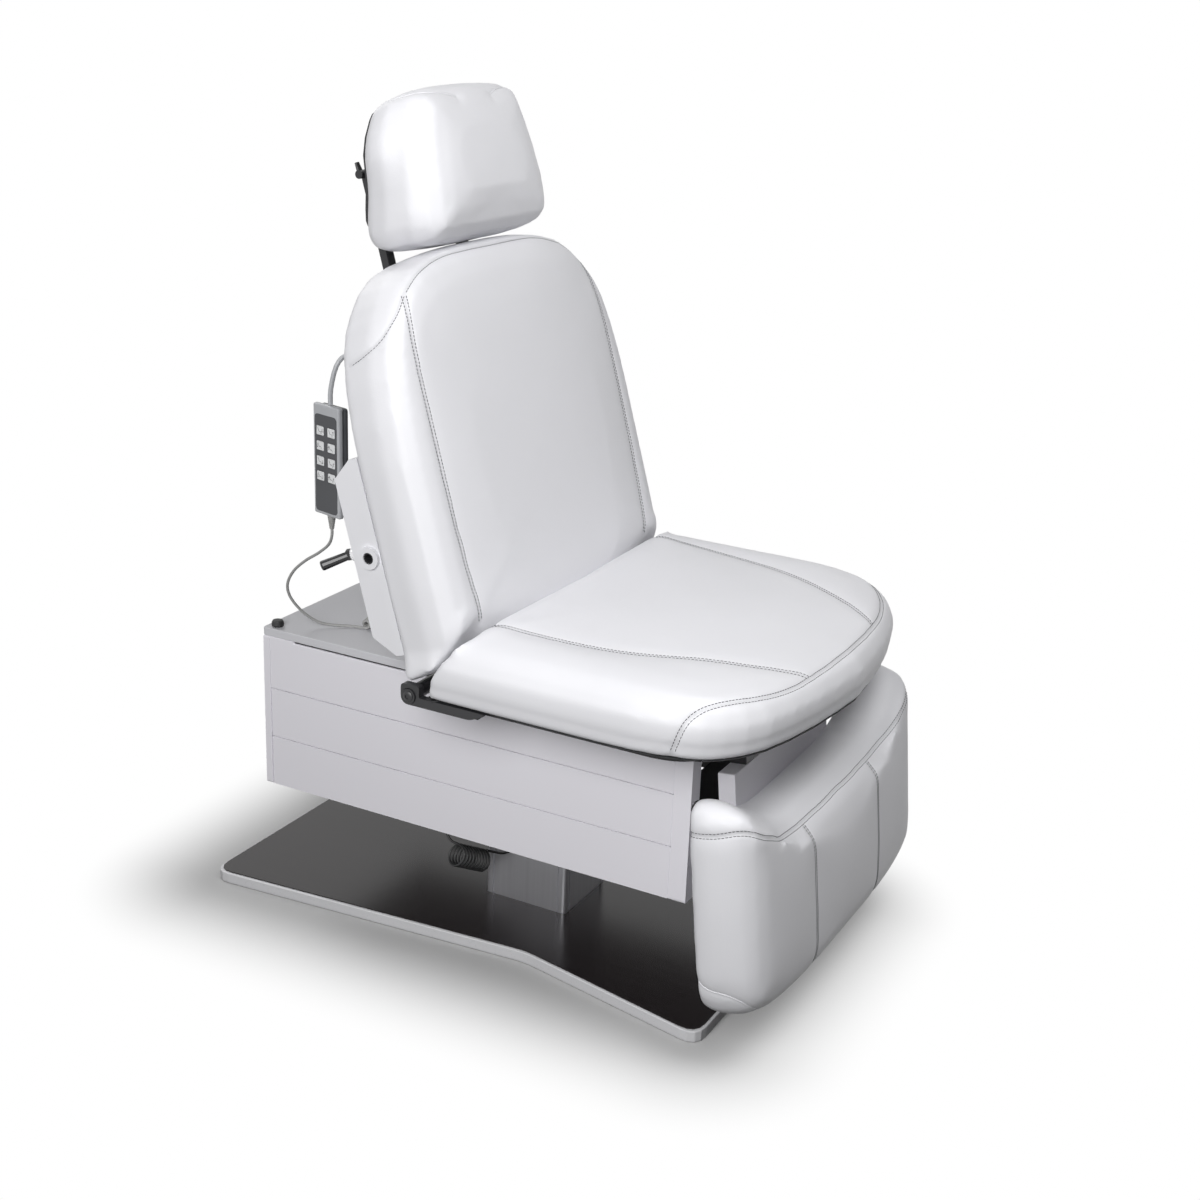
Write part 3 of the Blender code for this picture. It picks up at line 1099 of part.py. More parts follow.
def build_cords():
    level = DECK_TOP_Z + GAP + HAND_COIL_RADIUS + HAND_CORD_RADIUS
    turn = math.radians(14.0)
    axis = Vector((math.cos(turn), math.sin(turn), 0))
    side_way = Vector((-math.sin(turn), math.cos(turn), 0))
    start = Vector((-0.143, 0.250, level))
    curl = helix(start, axis, (0, 0, -1), HAND_COIL_RADIUS, HAND_COIL_PITCH, HAND_COIL_CURLS, HAND_COIL_TURN)
    lead_in = curl[0] + side_way * HAND_LEAD
    lead_out = curl[-1] - side_way * HAND_LEAD
    whole = [lead_in, lead_in - side_way * HAND_LEAD * 0.55, *curl, lead_out + side_way * HAND_LEAD * 0.55, lead_out]
    tube("handset_coil", whole, HAND_CORD_RADIUS, GREY_PLASTIC, 1)
    print("handset_coil least gap mm", round(1000 * least_gap(whole, HAND_CORD_RADIUS), 3))
    mouth = lead_out - side_way * GAP
    half = GLAND_SIZE / 2
    bm = bmesh.new()
    bmesh.ops.create_cube(bm, size=1.0, matrix=Matrix.Diagonal((GLAND_SIZE, GLAND_SIZE, GLAND_SIZE * 0.7, 1.0)))
    basis = Matrix.Rotation(turn, 3, "Z")
    centre = mouth - side_way * half
    gland = from_bmesh("deck_gland", bm, BLACK_PLASTIC, (centre.x, centre.y, DECK_TOP_Z + GAP + GLAND_SIZE * 0.35), basis)
    round_edges(gland, 0.002)

    x, y, z = HANDSET_CENTRE
    foot = z - HANDSET_LENGTH / 2 - 2 * GAP - RELIEF_LENGTH
    end = lead_in + side_way * GAP
    route = [(x, y, foot), (x, y, foot - 0.010), (-0.236, 0.249, 0.617), (-0.227, 0.274, 0.597), (-0.221, 0.304, 0.577),
             (-0.217, 0.329, 0.555), (-0.213, 0.344, 0.531), (-0.206, 0.346, 0.509), (-0.195, 0.337, 0.487),
             (-0.182, 0.322, 0.469), (-0.169, 0.305, 0.4600), end + side_way * 0.012, end + side_way * 0.004, end]
    tube("handset_cord", curve_through(route, 4), HAND_CORD_RADIUS, GREY_PLASTIC, 2)

    axis = Vector((0.857, -0.202, -0.473))
    curl = helix((-0.150, 0.0784, 0.1203), axis, axis.cross(Vector((0, 1, 0))), POWER_COIL_RADIUS, POWER_COIL_PITCH,
                 POWER_COIL_CURLS, POWER_COIL_TURN)
    box_low = CONTROL_BOTTOM_Z - GAP
    first = curl[0]
    last = curl[-1]
    lead = [(-0.128, 0.100, box_low), (-0.128, 0.100, box_low - 0.012), (-0.129, 0.102, 0.215), (-0.133, 0.105, 0.180),
            (-0.139, 0.104, 0.155), (first.x - 0.001, first.y + 0.014, first.z + 0.004), first]
    tail = [last, (last.x - 0.002, last.y - 0.016, last.z + 0.002), (-0.089, 0.026, 0.111), (-0.096, 0.002, 0.130),
            (-0.105, -0.020, 0.158), (-0.113, -0.036, 0.195), (-0.120, -0.046, 0.230), (-0.122, -0.050, box_low - 0.012),
            (-0.122, -0.050, box_low)]
    whole = curve_through(lead, 3)[:-1] + curl + curve_through(tail, 3)[1:]
    tube("power_cord", whole, POWER_CORD_RADIUS, BLACK_PLASTIC, 1)
    print("power_cord least gap mm", round(1000 * least_gap(whole, POWER_CORD_RADIUS), 3))


# Build

build_floor()
build_column()
build_chassis()
build_enclosure()
build_seat()
build_back()
build_arm_brackets()
build_head()
build_leg()
build_actuators()
build_handset()
build_cords()
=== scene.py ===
# %% [markdown]
# A white spa treatment chair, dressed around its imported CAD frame.
# The frame gives every hard piece in metres, with +Z up and the sitter facing -Y.
# What is added here is what a drawing leaves out: sewn upholstery, cords, finishes, light and a camera.
# Everything stays in the frame's own coordinates, so a piece is put where the CAD says and needs no fitting.

import json
import math

import bpy
import numpy as np
from mathutils import Matrix, Vector
from mathutils.bvhtree import BVHTree
from mathutils.kdtree import KDTree

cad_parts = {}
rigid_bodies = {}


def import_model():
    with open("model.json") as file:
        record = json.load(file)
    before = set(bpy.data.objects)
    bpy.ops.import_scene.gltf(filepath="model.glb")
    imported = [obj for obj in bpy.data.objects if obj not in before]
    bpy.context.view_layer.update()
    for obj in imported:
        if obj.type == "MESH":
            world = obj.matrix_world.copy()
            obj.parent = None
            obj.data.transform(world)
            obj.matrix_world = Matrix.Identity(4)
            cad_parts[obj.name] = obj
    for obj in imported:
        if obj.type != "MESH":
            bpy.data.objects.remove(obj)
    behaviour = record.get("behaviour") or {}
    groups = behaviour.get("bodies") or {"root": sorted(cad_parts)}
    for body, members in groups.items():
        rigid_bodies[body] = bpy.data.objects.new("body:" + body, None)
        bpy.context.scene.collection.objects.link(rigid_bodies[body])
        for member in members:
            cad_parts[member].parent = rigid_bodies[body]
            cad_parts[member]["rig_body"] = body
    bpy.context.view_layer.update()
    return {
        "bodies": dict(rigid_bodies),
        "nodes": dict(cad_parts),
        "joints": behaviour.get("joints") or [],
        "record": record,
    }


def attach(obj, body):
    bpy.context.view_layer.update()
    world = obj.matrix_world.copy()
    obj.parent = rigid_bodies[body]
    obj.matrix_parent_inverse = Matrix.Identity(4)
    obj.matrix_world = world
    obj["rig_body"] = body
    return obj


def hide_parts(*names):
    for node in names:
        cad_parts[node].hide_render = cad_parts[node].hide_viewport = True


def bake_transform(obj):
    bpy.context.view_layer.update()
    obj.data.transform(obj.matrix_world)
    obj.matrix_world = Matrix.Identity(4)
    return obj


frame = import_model()
NODES = frame["nodes"]

# %% [markdown]
# The camera stands where the photograph was taken, on the sitter's right and a little above the head.
# Its place came from the straight edges of the enclosure and the floor plate.
# The picture leans by about two degrees, so the camera is rolled by as much instead of tilting the chair.

# %% Camera
CAMERA_AT = Vector((-2.2570, -1.2587, 1.4291))
PAN, DIP, ROLL = (math.radians(a) for a in (-62.385, 19.497, 2.326))
LENS_MM = 53.747
SENSOR_MM = 36.0
FAR_CLIP = 60.0

forward = Vector((-math.sin(PAN) * math.cos(DIP), math.cos(PAN) * math.cos(DIP), -math.sin(DIP)))
level = forward.cross(Vector((0, 0, 1))).normalized()
upright = level.cross(forward)
across = level * math.cos(ROLL) + upright * math.sin(ROLL)
upward = upright * math.cos(ROLL) - level * math.sin(ROLL)
camera_data = bpy.data.cameras.new("photo_camera")
camera_data.lens = LENS_MM
camera_data.sensor_width = SENSOR_MM
camera_data.clip_end = FAR_CLIP
camera = bpy.data.objects.new("photo_camera", camera_data)
camera.matrix_world = Matrix.Translation(CAMERA_AT) @ Matrix((across, upward, -forward)).transposed().to_4x4()
bpy.context.scene.collection.objects.link(camera)
bpy.context.scene.camera = camera
print("camera looks along", [round(c, 3) for c in forward])

# %% [markdown]
# Three places move on their own, so it helps to write points in their own frames.
# The back leans about its pivot, the leg rest about its hinge, and the hand control hangs turned a little.
# Each helper turns a local point into the frame's metres.

# %% Local frames of back, leg rest and hand control
BACK_PIVOT = Vector((0, 0.042, 0.459))
BACK_LEAN = math.radians(16.3)
LEG_PIVOT = Vector((0, -0.385, 0.4206))
LEG_LEAN = math.radians(6.17)
HAND_CENTRE = Vector((-0.243, 0.238, 0.747))
HAND_YAW = math.radians(-13.6)
BACK_FRAME = Matrix.Translation(BACK_PIVOT) @ Matrix.Rotation(-BACK_LEAN, 4, "X")
LEG_FRAME = Matrix.Translation(LEG_PIVOT) @ Matrix.Rotation(LEG_LEAN, 4, "X")
HAND_FRAME = Matrix.Translation(HAND_CENTRE) @ Matrix.Rotation(HAND_YAW, 4, "Z")
ROW_FRAME = Matrix.Identity(4)
BACK_TALL = 0.587
ON_MIDDLE = 1e-6


def both_sides(half_line):
    """A line given from one side to the middle, carried on to the other side."""
    other = [(-x, y, z) for x, y, z in reversed(half_line) if abs(x) > ON_MIDDLE]
    return list(half_line) + other


def flipped(line):
    return [(-x, y, z) for x, y, z in line]


print("back top at", [round(c, 3) for c in BACK_FRAME @ Vector((0, 0, BACK_TALL))])

# %% [markdown]
# Finishes come next, because every piece below takes one.
# Each is a small node tree: a slow noise shifts the colour, and a fine one shifts the gloss and makes the relief.
# The noise runs in object coordinates, which are metres here.
# A grain of one millimetre is then one millimetre on every piece.

# %% Nodes by name
PATCH_OF_NOISE = 0.5
NOISE_LOW, NOISE_HIGH = 0.3, 0.7


def tree_of(name):
    material = bpy.data.materials.new(name)
    material.use_nodes = True
    tree = material.node_tree
    return material, tree, tree.nodes["Principled BSDF"]


def add(tree, kind, **values):
    """A node with its sockets set by name, or linked where the value is a socket."""
    node = tree.nodes.new(kind)
    for key, value in values.items():
        name = key.replace("_", " ")
        if key[0].islower():
            setattr(node, key, value)
        elif isinstance(value, bpy.types.NodeSocket):
            tree.links.new(value, node.inputs[name])
        else:
            node.inputs[name].default_value = value
    return node


def grain(tree, size, stretch=(1, 1, 1), detail=3.0):
    """Noise whose patches are about size metres across, drawn out along an axis by stretch."""
    place = add(tree, "ShaderNodeTexCoord")
    scaled = add(tree, "ShaderNodeMapping", Vector=place.outputs["Object"], Scale=tuple(1 / s for s in stretch))
    return add(tree, "ShaderNodeTexNoise", Vector=scaled.outputs["Vector"], Scale=PATCH_OF_NOISE / size,
               Detail=detail)


def tint(tree, factor, low, high):
    """Colour that runs from low to high over the range that a noise mostly has."""
    ramp = add(tree, "ShaderNodeValToRGB", Fac=factor)
    for stop, place, colour in zip(ramp.color_ramp.elements, (NOISE_LOW, NOISE_HIGH), (low, high)):
        stop.position = place
        stop.color = (*colour, 1.0)
    return ramp.outputs["Color"]


def spread(tree, factor, low, high):
    """Number that runs from low to high over the same range."""
    return add(tree, "ShaderNodeMapRange", Value=factor, From_Min=NOISE_LOW, From_Max=NOISE_HIGH, To_Min=low,
               To_Max=high).outputs["Result"]


def shade(colour, by):
    return tuple(min(1.0, c * by) for c in colour)


print("node helpers ready")

# %% [markdown]
# A hard finish is one shader with those noises linked in, and plain numbers on the shader's own sockets.
# The side panels are painted near black where the surface is near the middle plane, as painted shade inside the
# enclosure.

# %% Helper for hard finishes
LEAST_ROUGH, MOST_ROUGH = 0.88, 1.12
HARD_BUMP = 0.6


def within(tree, colour, inner, half):
    """The colour outside, and the inner colour where the surface is nearer than half to the middle plane."""
    place = add(tree, "ShaderNodeTexCoord").outputs["Object"]
    side = add(tree, "ShaderNodeMath", operation="ABSOLUTE")
    tree.links.new(add(tree, "ShaderNodeSeparateXYZ", Vector=place).outputs["X"], side.inputs[0])
    inside = add(tree, "ShaderNodeMath", operation="LESS_THAN")
    tree.links.new(side.outputs["Value"], inside.inputs[0])
    inside.inputs[1].default_value = half
    mixed = add(tree, "ShaderNodeMix", data_type="RGBA")
    tree.links.new(inside.outputs["Value"], mixed.inputs[0])
    tree.links.new(colour, mixed.inputs[6])
    mixed.inputs[7].default_value = (*inner, 1.0)
    return mixed.outputs[2]


def surface(name, colour, rough, drift=0.03, patch=0.05, relief=0.0006, height=0.00004, stretch=(1, 1, 1), metal=0.0,
            inner=None, **shader):
    """A hard finish: colour drifts by patch, gloss changes with it, and relief is the size of its fine marks."""
    material, tree, bsdf = tree_of(name)
    slow = grain(tree, patch, stretch).outputs["Fac"]
    hue = tint(tree, slow, shade(colour, 1 - drift), shade(colour, 1 + drift))
    hue = within(tree, hue, *inner) if inner else hue
    tree.links.new(hue, bsdf.inputs["Base Color"])
    fine = grain(tree, relief, stretch, 2.0).outputs["Fac"]
    tree.links.new(spread(tree, fine, rough * LEAST_ROUGH, rough * MOST_ROUGH), bsdf.inputs["Roughness"])
    bump = add(tree, "ShaderNodeBump", Height=fine, Strength=HARD_BUMP, Distance=height)
    tree.links.new(bump.outputs["Normal"], bsdf.inputs["Normal"])
    bsdf.inputs["Metallic"].default_value = metal
    for key, value in shader.items():
        bsdf.inputs[key.replace("_", " ")].default_value = value
    return material


print("finish helpers ready")

# %% [markdown]
# The hard finishes of the chair.
# The enclosure is a satin laminate with a faint lilac cast, and the deck is a shade greyer.
# The floor plate is brown-black brushed steel, so its noise is drawn out along the brushing.
# The column is anodised aluminium with vertical drawing marks.

# %% Hard finishes
ALONG_Y = (1, 60, 1)
ALONG_Z = (1, 1, 60)
PANEL = surface("satin_laminate", (0.86, 0.845, 0.895), 0.42, 0.012, 0.30, 0.0009, 0.00002)
# The inside faces of the side panels are near black: painted shade inside the enclosure.
SIDE_PANEL_INNER_SHADE = surface("laminate_with_painted_inner_shade", (0.86, 0.845, 0.895), 0.42, 0.012, 0.30, 0.0009, 0.00002,
                     inner=((0.050, 0.045, 0.045), 0.2150))
DECK = surface("deck_laminate", (0.66, 0.66, 0.69), 0.46, 0.015, 0.20, 0.0008, 0.00003)
PLATE_EDGE = surface("white_plate_enamel", (0.80, 0.80, 0.82), 0.30, 0.02, 0.05, 0.002, 0.00003)
BRUSHED = surface("brushed_dark_steel", (0.022, 0.018, 0.019), 0.24, 0.10, 0.004, 0.0005, 0.000010, ALONG_Y,
                  Specular_IOR_Level=0.38)
ANODISED = surface("anodised_aluminium", (0.62, 0.62, 0.65), 0.36, 0.05, 0.004, 0.0004, 0.000010, ALONG_Z, 0.9)
BLACK_COAT = surface("black_powder_coat", (0.018, 0.018, 0.020), 0.40, 0.20, 0.03, 0.0008, 0.00006)
BLACK_PLASTIC = surface("black_moulding", (0.020, 0.020, 0.022), 0.36, 0.15, 0.02, 0.0005, 0.00004)
BRACKET_WHITE = surface("white_bracket_enamel", (0.80, 0.80, 0.83), 0.34, 0.015, 0.06, 0.0015, 0.00003)
GLOSS_BLACK = surface("polished_black_knob", (0.012, 0.012, 0.013), 0.16, 0.15, 0.01, 0.002, 0.00001)
RUBBER = surface("bumper_rubber", (0.016, 0.016, 0.017), 0.62, 0.20, 0.01, 0.0004, 0.00005)
CHROME = surface("chrome_plate", (0.80, 0.80, 0.82), 0.10, 0.03, 0.01, 0.003, 0.000004, metal=1.0)
ZINC = surface("zinc_plated_steel", (0.56, 0.56, 0.58), 0.34, 0.08, 0.01, 0.0010, 0.000015, metal=1.0)
GREY_SHELL = surface("light_grey_moulding", (0.44, 0.45, 0.47), 0.40, 0.04, 0.02, 0.0004, 0.00003)
DARK_SHELL = surface("dark_grey_moulding", (0.085, 0.088, 0.095), 0.44, 0.08, 0.02, 0.0004, 0.00004)
KEYPAD = surface("charcoal_keypad_film", (0.045, 0.047, 0.053), 0.38, 0.08, 0.02, 0.0003, 0.00002)
KEY_WHITE = surface("white_key_cap", (0.80, 0.81, 0.82), 0.34, 0.02, 0.006, 0.0004, 0.00001)
ICON_INK = surface("dark_key_print", (0.05, 0.05, 0.055), 0.50, 0.15, 0.003, 0.0003, 0.00001)
GREY_CORD = surface("light_grey_cord_jacket", (0.35, 0.35, 0.345), 0.42, 0.05, 0.010, 0.0005, 0.00003)
BLACK_CORD = surface("black_cord_jacket", (0.014, 0.014, 0.015), 0.42, 0.20, 0.010, 0.0005, 0.00003)
LINING = surface("black_lining_cloth", (0.016, 0.016, 0.018), 0.75, 0.25, 0.004, 0.0006, 0.00012)
print("hard finishes up to", LINING.name)

# %% [markdown]
# The upholstery is a cool white faux leather.
# Its pebbles are under two millimetres across: cells give the pebbles and noise breaks them up.
# A slow noise keeps the white from being dead flat.
# Close to a seam the leather is painted a little greyer, as painted shade in the seam's crease, so the mesh carries a
# value named seam.
# It is highest on a seam and 0 away from it.

# %% Upholstery and thread
PEBBLE_SCALE, PEBBLE_SOFT = 620.0, 0.6
FOLD_SIZE, FOLD_DETAIL, FOLD_SHARE = 0.0030, 4.0, 0.55
CLOUD_SIZE, CLOUD_DARK, CLOUD_LIGHT = 0.12, 0.972, 1.012
SEAM_SHADE_GREY = 0.80
HIDE_SMOOTH, HIDE_ROUGH = 0.40, 0.52
HIDE_BUMP, HIDE_RELIEF = 0.28, 0.00022
HIDE_SPECULAR, HIDE_SHEEN = 0.42, 0.04


def faux_leather(name, white):
    material, tree, bsdf = tree_of(name)
    place = add(tree, "ShaderNodeTexCoord").outputs["Object"]
    pebbles = add(tree, "ShaderNodeTexVoronoi", feature="SMOOTH_F1", Vector=place, Scale=PEBBLE_SCALE,
                  Smoothness=PEBBLE_SOFT)
    folds = grain(tree, FOLD_SIZE, detail=FOLD_DETAIL).outputs["Fac"]
    slow = grain(tree, CLOUD_SIZE).outputs["Fac"]
    hide = tint(tree, slow, shade(white, CLOUD_DARK), shade(white, CLOUD_LIGHT))
    seam = add(tree, "ShaderNodeAttribute", attribute_name="seam").outputs["Fac"]
    # Close to a seam the colour goes to a darker grey: painted shade in the seam's crease.
    seam_shaded = add(tree, "ShaderNodeMix", data_type="RGBA", blend_type="MIX")
    for socket, value in ((0, seam), (6, hide)):
        tree.links.new(value, seam_shaded.inputs[socket])
    seam_shaded.inputs[7].default_value = (*shade(white, SEAM_SHADE_GREY), 1.0)
    tree.links.new(seam_shaded.outputs[2], bsdf.inputs["Base Color"])
    mixed = add(tree, "ShaderNodeMath", operation="MULTIPLY_ADD")
    tree.links.new(folds, mixed.inputs[0])
    mixed.inputs[1].default_value = FOLD_SHARE
    tree.links.new(pebbles.outputs["Distance"], mixed.inputs[2])
    tree.links.new(spread(tree, folds, HIDE_SMOOTH, HIDE_ROUGH), bsdf.inputs["Roughness"])
    bump = add(tree, "ShaderNodeBump", Height=mixed.outputs["Value"], Strength=HIDE_BUMP, Distance=HIDE_RELIEF)
    tree.links.new(bump.outputs["Normal"], bsdf.inputs["Normal"])
    bsdf.inputs["Specular IOR Level"].default_value = HIDE_SPECULAR
    bsdf.inputs["Sheen Weight"].default_value = HIDE_SHEEN
    return material


LEATHER = faux_leather("white_faux_leather", (0.80, 0.80, 0.83))
THREAD = surface("dark_grey_thread", (0.038, 0.038, 0.044), 0.70, 0.20, 0.002, 0.0003, 0.00005)
print("upholstery finish", LEATHER.name)

# %% [markdown]
# The CAD nodes that show keep their shape and only change finish.
# A table of name starts is enough, because the nodes are named for what they are.

# %% Finishes of the CAD nodes
FINISH_OF = {
    "base_plate": PLATE_EDGE, "base_cover": BRUSHED, "column_": ANODISED, "lift_": ZINC, "chassis_frame": BLACK_COAT,
    "deck_bumper": RUBBER, "deck_gland": BLACK_PLASTIC, "deck": DECK, "rear_end_panel": PANEL, "front_end_frame": PANEL,
    "side_panel": SIDE_PANEL_INNER_SHADE, "control_box": BLACK_PLASTIC, "seat_board": LINING, "seat_hinge": BLACK_COAT,
    "back_frame": BLACK_COAT, "back_board": LINING, "arm_bracket": BRACKET_WHITE, "clamp_lever": GLOSS_BLACK,
    "headrest_guide": BLACK_PLASTIC, "headrest_posts": BLACK_COAT, "headrest_cover": BLACK_PLASTIC,
    "headrest_lever": BLACK_PLASTIC, "leg_carriage": BLACK_COAT, "leg_yoke": BLACK_COAT, "leg_board": PANEL,
    "back_actuator_rod": ZINC, "leg_actuator_rod": ZINC, "back_actuator": BLACK_PLASTIC, "leg_actuator": BLACK_PLASTIC,
    "handset_rear_shell": DARK_SHELL, "handset_front_shell": GREY_SHELL, "key_": KEY_WHITE,
    "handset_strain_relief": GREY_CORD, "handset_hanger": GREY_SHELL, "handset_c": GREY_CORD, "power_cord": BLACK_CORD,
}


def finish_for(name):
    fitting = [start for start in FINISH_OF if name.startswith(start)]
    return FINISH_OF[max(fitting, key=len)] if fitting else LEATHER


for name, node in NODES.items():
    node.data.materials.clear()
    node.data.materials.append(finish_for(name))
print("finished", len(NODES), "CAD nodes")

# %% [markdown]
# New meshes all go through one door: it links the object, gives it a finish, smooths it and lets it ride.
# A piece rides on the body of the CAD node that carries it, so the node's name is enough.

# %% Helpers for new pieces


def piece(name, vertices, faces, finish, carrier=None, smooth=True):
    mesh = bpy.data.meshes.new(name)
    mesh.from_pydata([tuple(v) for v in vertices], [], faces)
    mesh.update()
    mesh.materials.append(finish)
    mesh.polygons.foreach_set("use_smooth", [smooth] * len(mesh.polygons))
    ob = bpy.data.objects.new(name, mesh)
    bpy.context.scene.collection.objects.link(ob)
    if carrier:
        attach(ob, NODES[carrier]["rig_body"])
    return ob


def smooth_line(points, step=0.004):
    """A Catmull-Rom line through the points, with a point about every step metres."""
    points = [Vector(p) for p in points]
    line = []
    for i in range(len(points) - 1):
        b, c = points[i], points[i + 1]
        a = points[i - 1] if i else b * 2 - c
        d = points[i + 2] if i + 2 < len(points) else c * 2 - b
        count = max(2, round((c - b).length / step))
        for k in range(count):
            t = k / count
            line.append(0.5 * ((2 * b) + (c - a) * t + (2 * a - 5 * b + 4 * c - d) * t ** 2
                               + (3 * b - a - 3 * c + d) * t ** 3))
    return line + [points[-1]]


def length_of(line):
    return sum((b - a).length for a, b in zip(line, line[1:]))


def tube_mesh(line, radius, sides=12, radii=None):
    """Vertices and faces of a round tube along a line, with flat ends. The ring is carried along without twist."""
    line = [Vector(p) for p in line]
    tangents = [(line[min(i + 1, len(line) - 1)] - line[max(i - 1, 0)]).normalized() for i in range(len(line))]
    ring_way = tangents[0].orthogonal().normalized()
    vertices = []
    for i, (p, t) in enumerate(zip(line, tangents)):
        ring_way = (ring_way - t * ring_way.dot(t)).normalized()
        other = t.cross(ring_way)
        r = radii[i] if radii else radius
        for k in range(sides):
            angle = 2 * math.pi * k / sides
            vertices.append(p + (ring_way * math.cos(angle) + other * math.sin(angle)) * r)
    faces = []
    for i in range(len(line) - 1):
        for k in range(sides):
            n = (k + 1) % sides
            faces.append([i * sides + k, i * sides + n, (i + 1) * sides + n, (i + 1) * sides + k])
    faces.append(list(range(sides - 1, -1, -1)))
    faces.append([(len(line) - 1) * sides + k for k in range(sides)])
    return vertices, faces


print("piece helpers ready")

# %% [markdown]
# A light grey cord leaves the hand control straight down, swings back and lands on the deck.
# There it is wound in small curls that end in a gland.
# It is one cord of one length, so it is one tube.

# %% Cord of the hand control
CORD_RADIUS = 0.0022
CURL_RADIUS = 0.0056
CURL_PITCH = 0.0055
CURLS = 20
CURL_LEAD = 0.014
DECK_TOP, CORD_GAP = 0.4545, 0.0003
CURL_START = Vector((-0.143, 0.250, DECK_TOP + CORD_GAP + CURL_RADIUS + CORD_RADIUS))
CURL_TURN = math.radians(14.0)
POINTS_PER_CURL = 18
HAND_LENGTH, SLEEVE_LENGTH, SLEEVE_GAP = 0.163, 0.020, 0.0006
BEND_SHARE, BEND_STEP = 0.55, 0.003


def curl(start, axis, first, radius, pitch, turns, way):
    """A helix round an axis, from the point that lies from the axis in the direction first."""
    axis = Vector(axis).normalized()
    first = Vector(first).normalized()
    other = axis.cross(first) * way
    points = []
    for step in range(turns * POINTS_PER_CURL + 1):
        angle = 2 * math.pi * step / POINTS_PER_CURL
        points.append(Vector(start) + axis * (pitch * step / POINTS_PER_CURL)
                      + (first * math.cos(angle) + other * math.sin(angle)) * radius)
    return points


curl_axis = Vector((math.cos(CURL_TURN), math.sin(CURL_TURN), 0))
curl_side = Vector((-math.sin(CURL_TURN), math.cos(CURL_TURN), 0))
hand_curl = curl(CURL_START, curl_axis, (0, 0, -1), CURL_RADIUS, CURL_PITCH, CURLS, -1.0)
curl_mouth = hand_curl[0] + curl_side * CURL_LEAD
curl_tail = hand_curl[-1] - curl_side * CURL_LEAD
cord_top = HAND_CENTRE - Vector((0, 0, HAND_LENGTH / 2 + SLEEVE_GAP + SLEEVE_LENGTH))
hand_route = [cord_top, cord_top - Vector((0, 0, 0.010)), (-0.236, 0.249, 0.617), (-0.227, 0.274, 0.597),
              (-0.221, 0.304, 0.577), (-0.217, 0.329, 0.555), (-0.213, 0.344, 0.531), (-0.206, 0.346, 0.509),
              (-0.195, 0.337, 0.487), (-0.182, 0.322, 0.469), (-0.169, 0.305, 0.4600),
              curl_mouth + curl_side * 0.012, curl_mouth + curl_side * 0.004, curl_mouth]
way_in = smooth_line([curl_mouth, curl_mouth - curl_side * CURL_LEAD * BEND_SHARE, hand_curl[0]], BEND_STEP)
way_out = smooth_line([hand_curl[-1], curl_tail + curl_side * CURL_LEAD * BEND_SHARE, curl_tail], BEND_STEP)
hand_line = smooth_line(hand_route)[:-1] + way_in[:-1] + hand_curl[:-1] + way_out
hand_cord = piece("handset_cord_jacket", *tube_mesh(hand_line, CORD_RADIUS), GREY_CORD)
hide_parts("handset_cord", "handset_coil")
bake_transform(hand_cord)
print("hand control cord, metres:", round(length_of(hand_line), 3))

# %% [markdown]
# Under the enclosure a slim black cord hangs from the control box in a loose coil and goes back up into the box.
# The photograph shows both of its ends going up, so it needs no plug.

# %% Cord under the enclosure
LEAD_RADIUS = 0.0020
LEAD_COIL_RADIUS = 0.0168
LEAD_COIL_PITCH = 0.0078
LEAD_COIL_TURNS = 9
BOX_UNDERSIDE = 0.262 - CORD_GAP
LEAD_STRAIGHT = 0.012

lead_axis = Vector((0.857, -0.202, -0.473))
lead_coil = curl((-0.150, 0.0784, 0.1203), lead_axis, lead_axis.cross(Vector((0, 1, 0))), LEAD_COIL_RADIUS,
                 LEAD_COIL_PITCH, LEAD_COIL_TURNS, 1.0)
first, last = lead_coil[0], lead_coil[-1]
lead_in = [(-0.128, 0.100, BOX_UNDERSIDE), (-0.128, 0.100, BOX_UNDERSIDE - LEAD_STRAIGHT), (-0.129, 0.102, 0.215),
           (-0.133, 0.105, 0.180), (-0.139, 0.104, 0.155), (first.x - 0.001, first.y + 0.014, first.z + 0.004), first]
lead_out = [last, (last.x - 0.002, last.y - 0.016, last.z + 0.002), (-0.089, 0.026, 0.111), (-0.096, 0.002, 0.130),
            (-0.105, -0.020, 0.158), (-0.113, -0.036, 0.195), (-0.120, -0.046, 0.230),
            (-0.122, -0.050, BOX_UNDERSIDE - LEAD_STRAIGHT), (-0.122, -0.050, BOX_UNDERSIDE)]
lead_line = smooth_line(lead_in)[:-1] + lead_coil + smooth_line(lead_out)[1:]
lead = piece("power_cord_jacket", *tube_mesh(lead_line, LEAD_RADIUS, 10), BLACK_CORD, "control_box")
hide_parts("power_cord")
print("cord under the enclosure, metres:", round(length_of(lead_line), 3))

# %% [markdown]
# The cushions are the heart of the chair.
# Each starts as the CAD's plain pad, which is remeshed to an even net and drawn in by a millimetre or two.
# An even net matters because cloth folds along long thin faces.

# %% Net of a cushion
DRAWN_IN = 0.0016
RELAX = 0.5


def net_of(node, voxel, rounds):
    """An even mesh on the pad of a CAD node, smoothed in a few rounds and drawn in a little."""
    ob = bpy.data.objects.new("net", NODES[node].data.copy())
    bpy.context.scene.collection.objects.link(ob)
    remesh = ob.modifiers.new("net", "REMESH")
    remesh.mode = "VOXEL"
    remesh.voxel_size = voxel
    relax = ob.modifiers.new("relax", "SMOOTH")
    relax.factor = RELAX
    relax.iterations = rounds
    shrink = ob.modifiers.new("draw in", "DISPLACE")
    shrink.mid_level = 0.0
    shrink.strength = -DRAWN_IN
    return settled(ob)


def settled(ob):
    """The object with its modifiers made real."""
    bpy.context.view_layer.update()
    mesh = bpy.data.meshes.new_from_object(ob.evaluated_get(bpy.context.evaluated_depsgraph_get()))
    ob.modifiers.clear()
    ob.data = mesh
    return ob


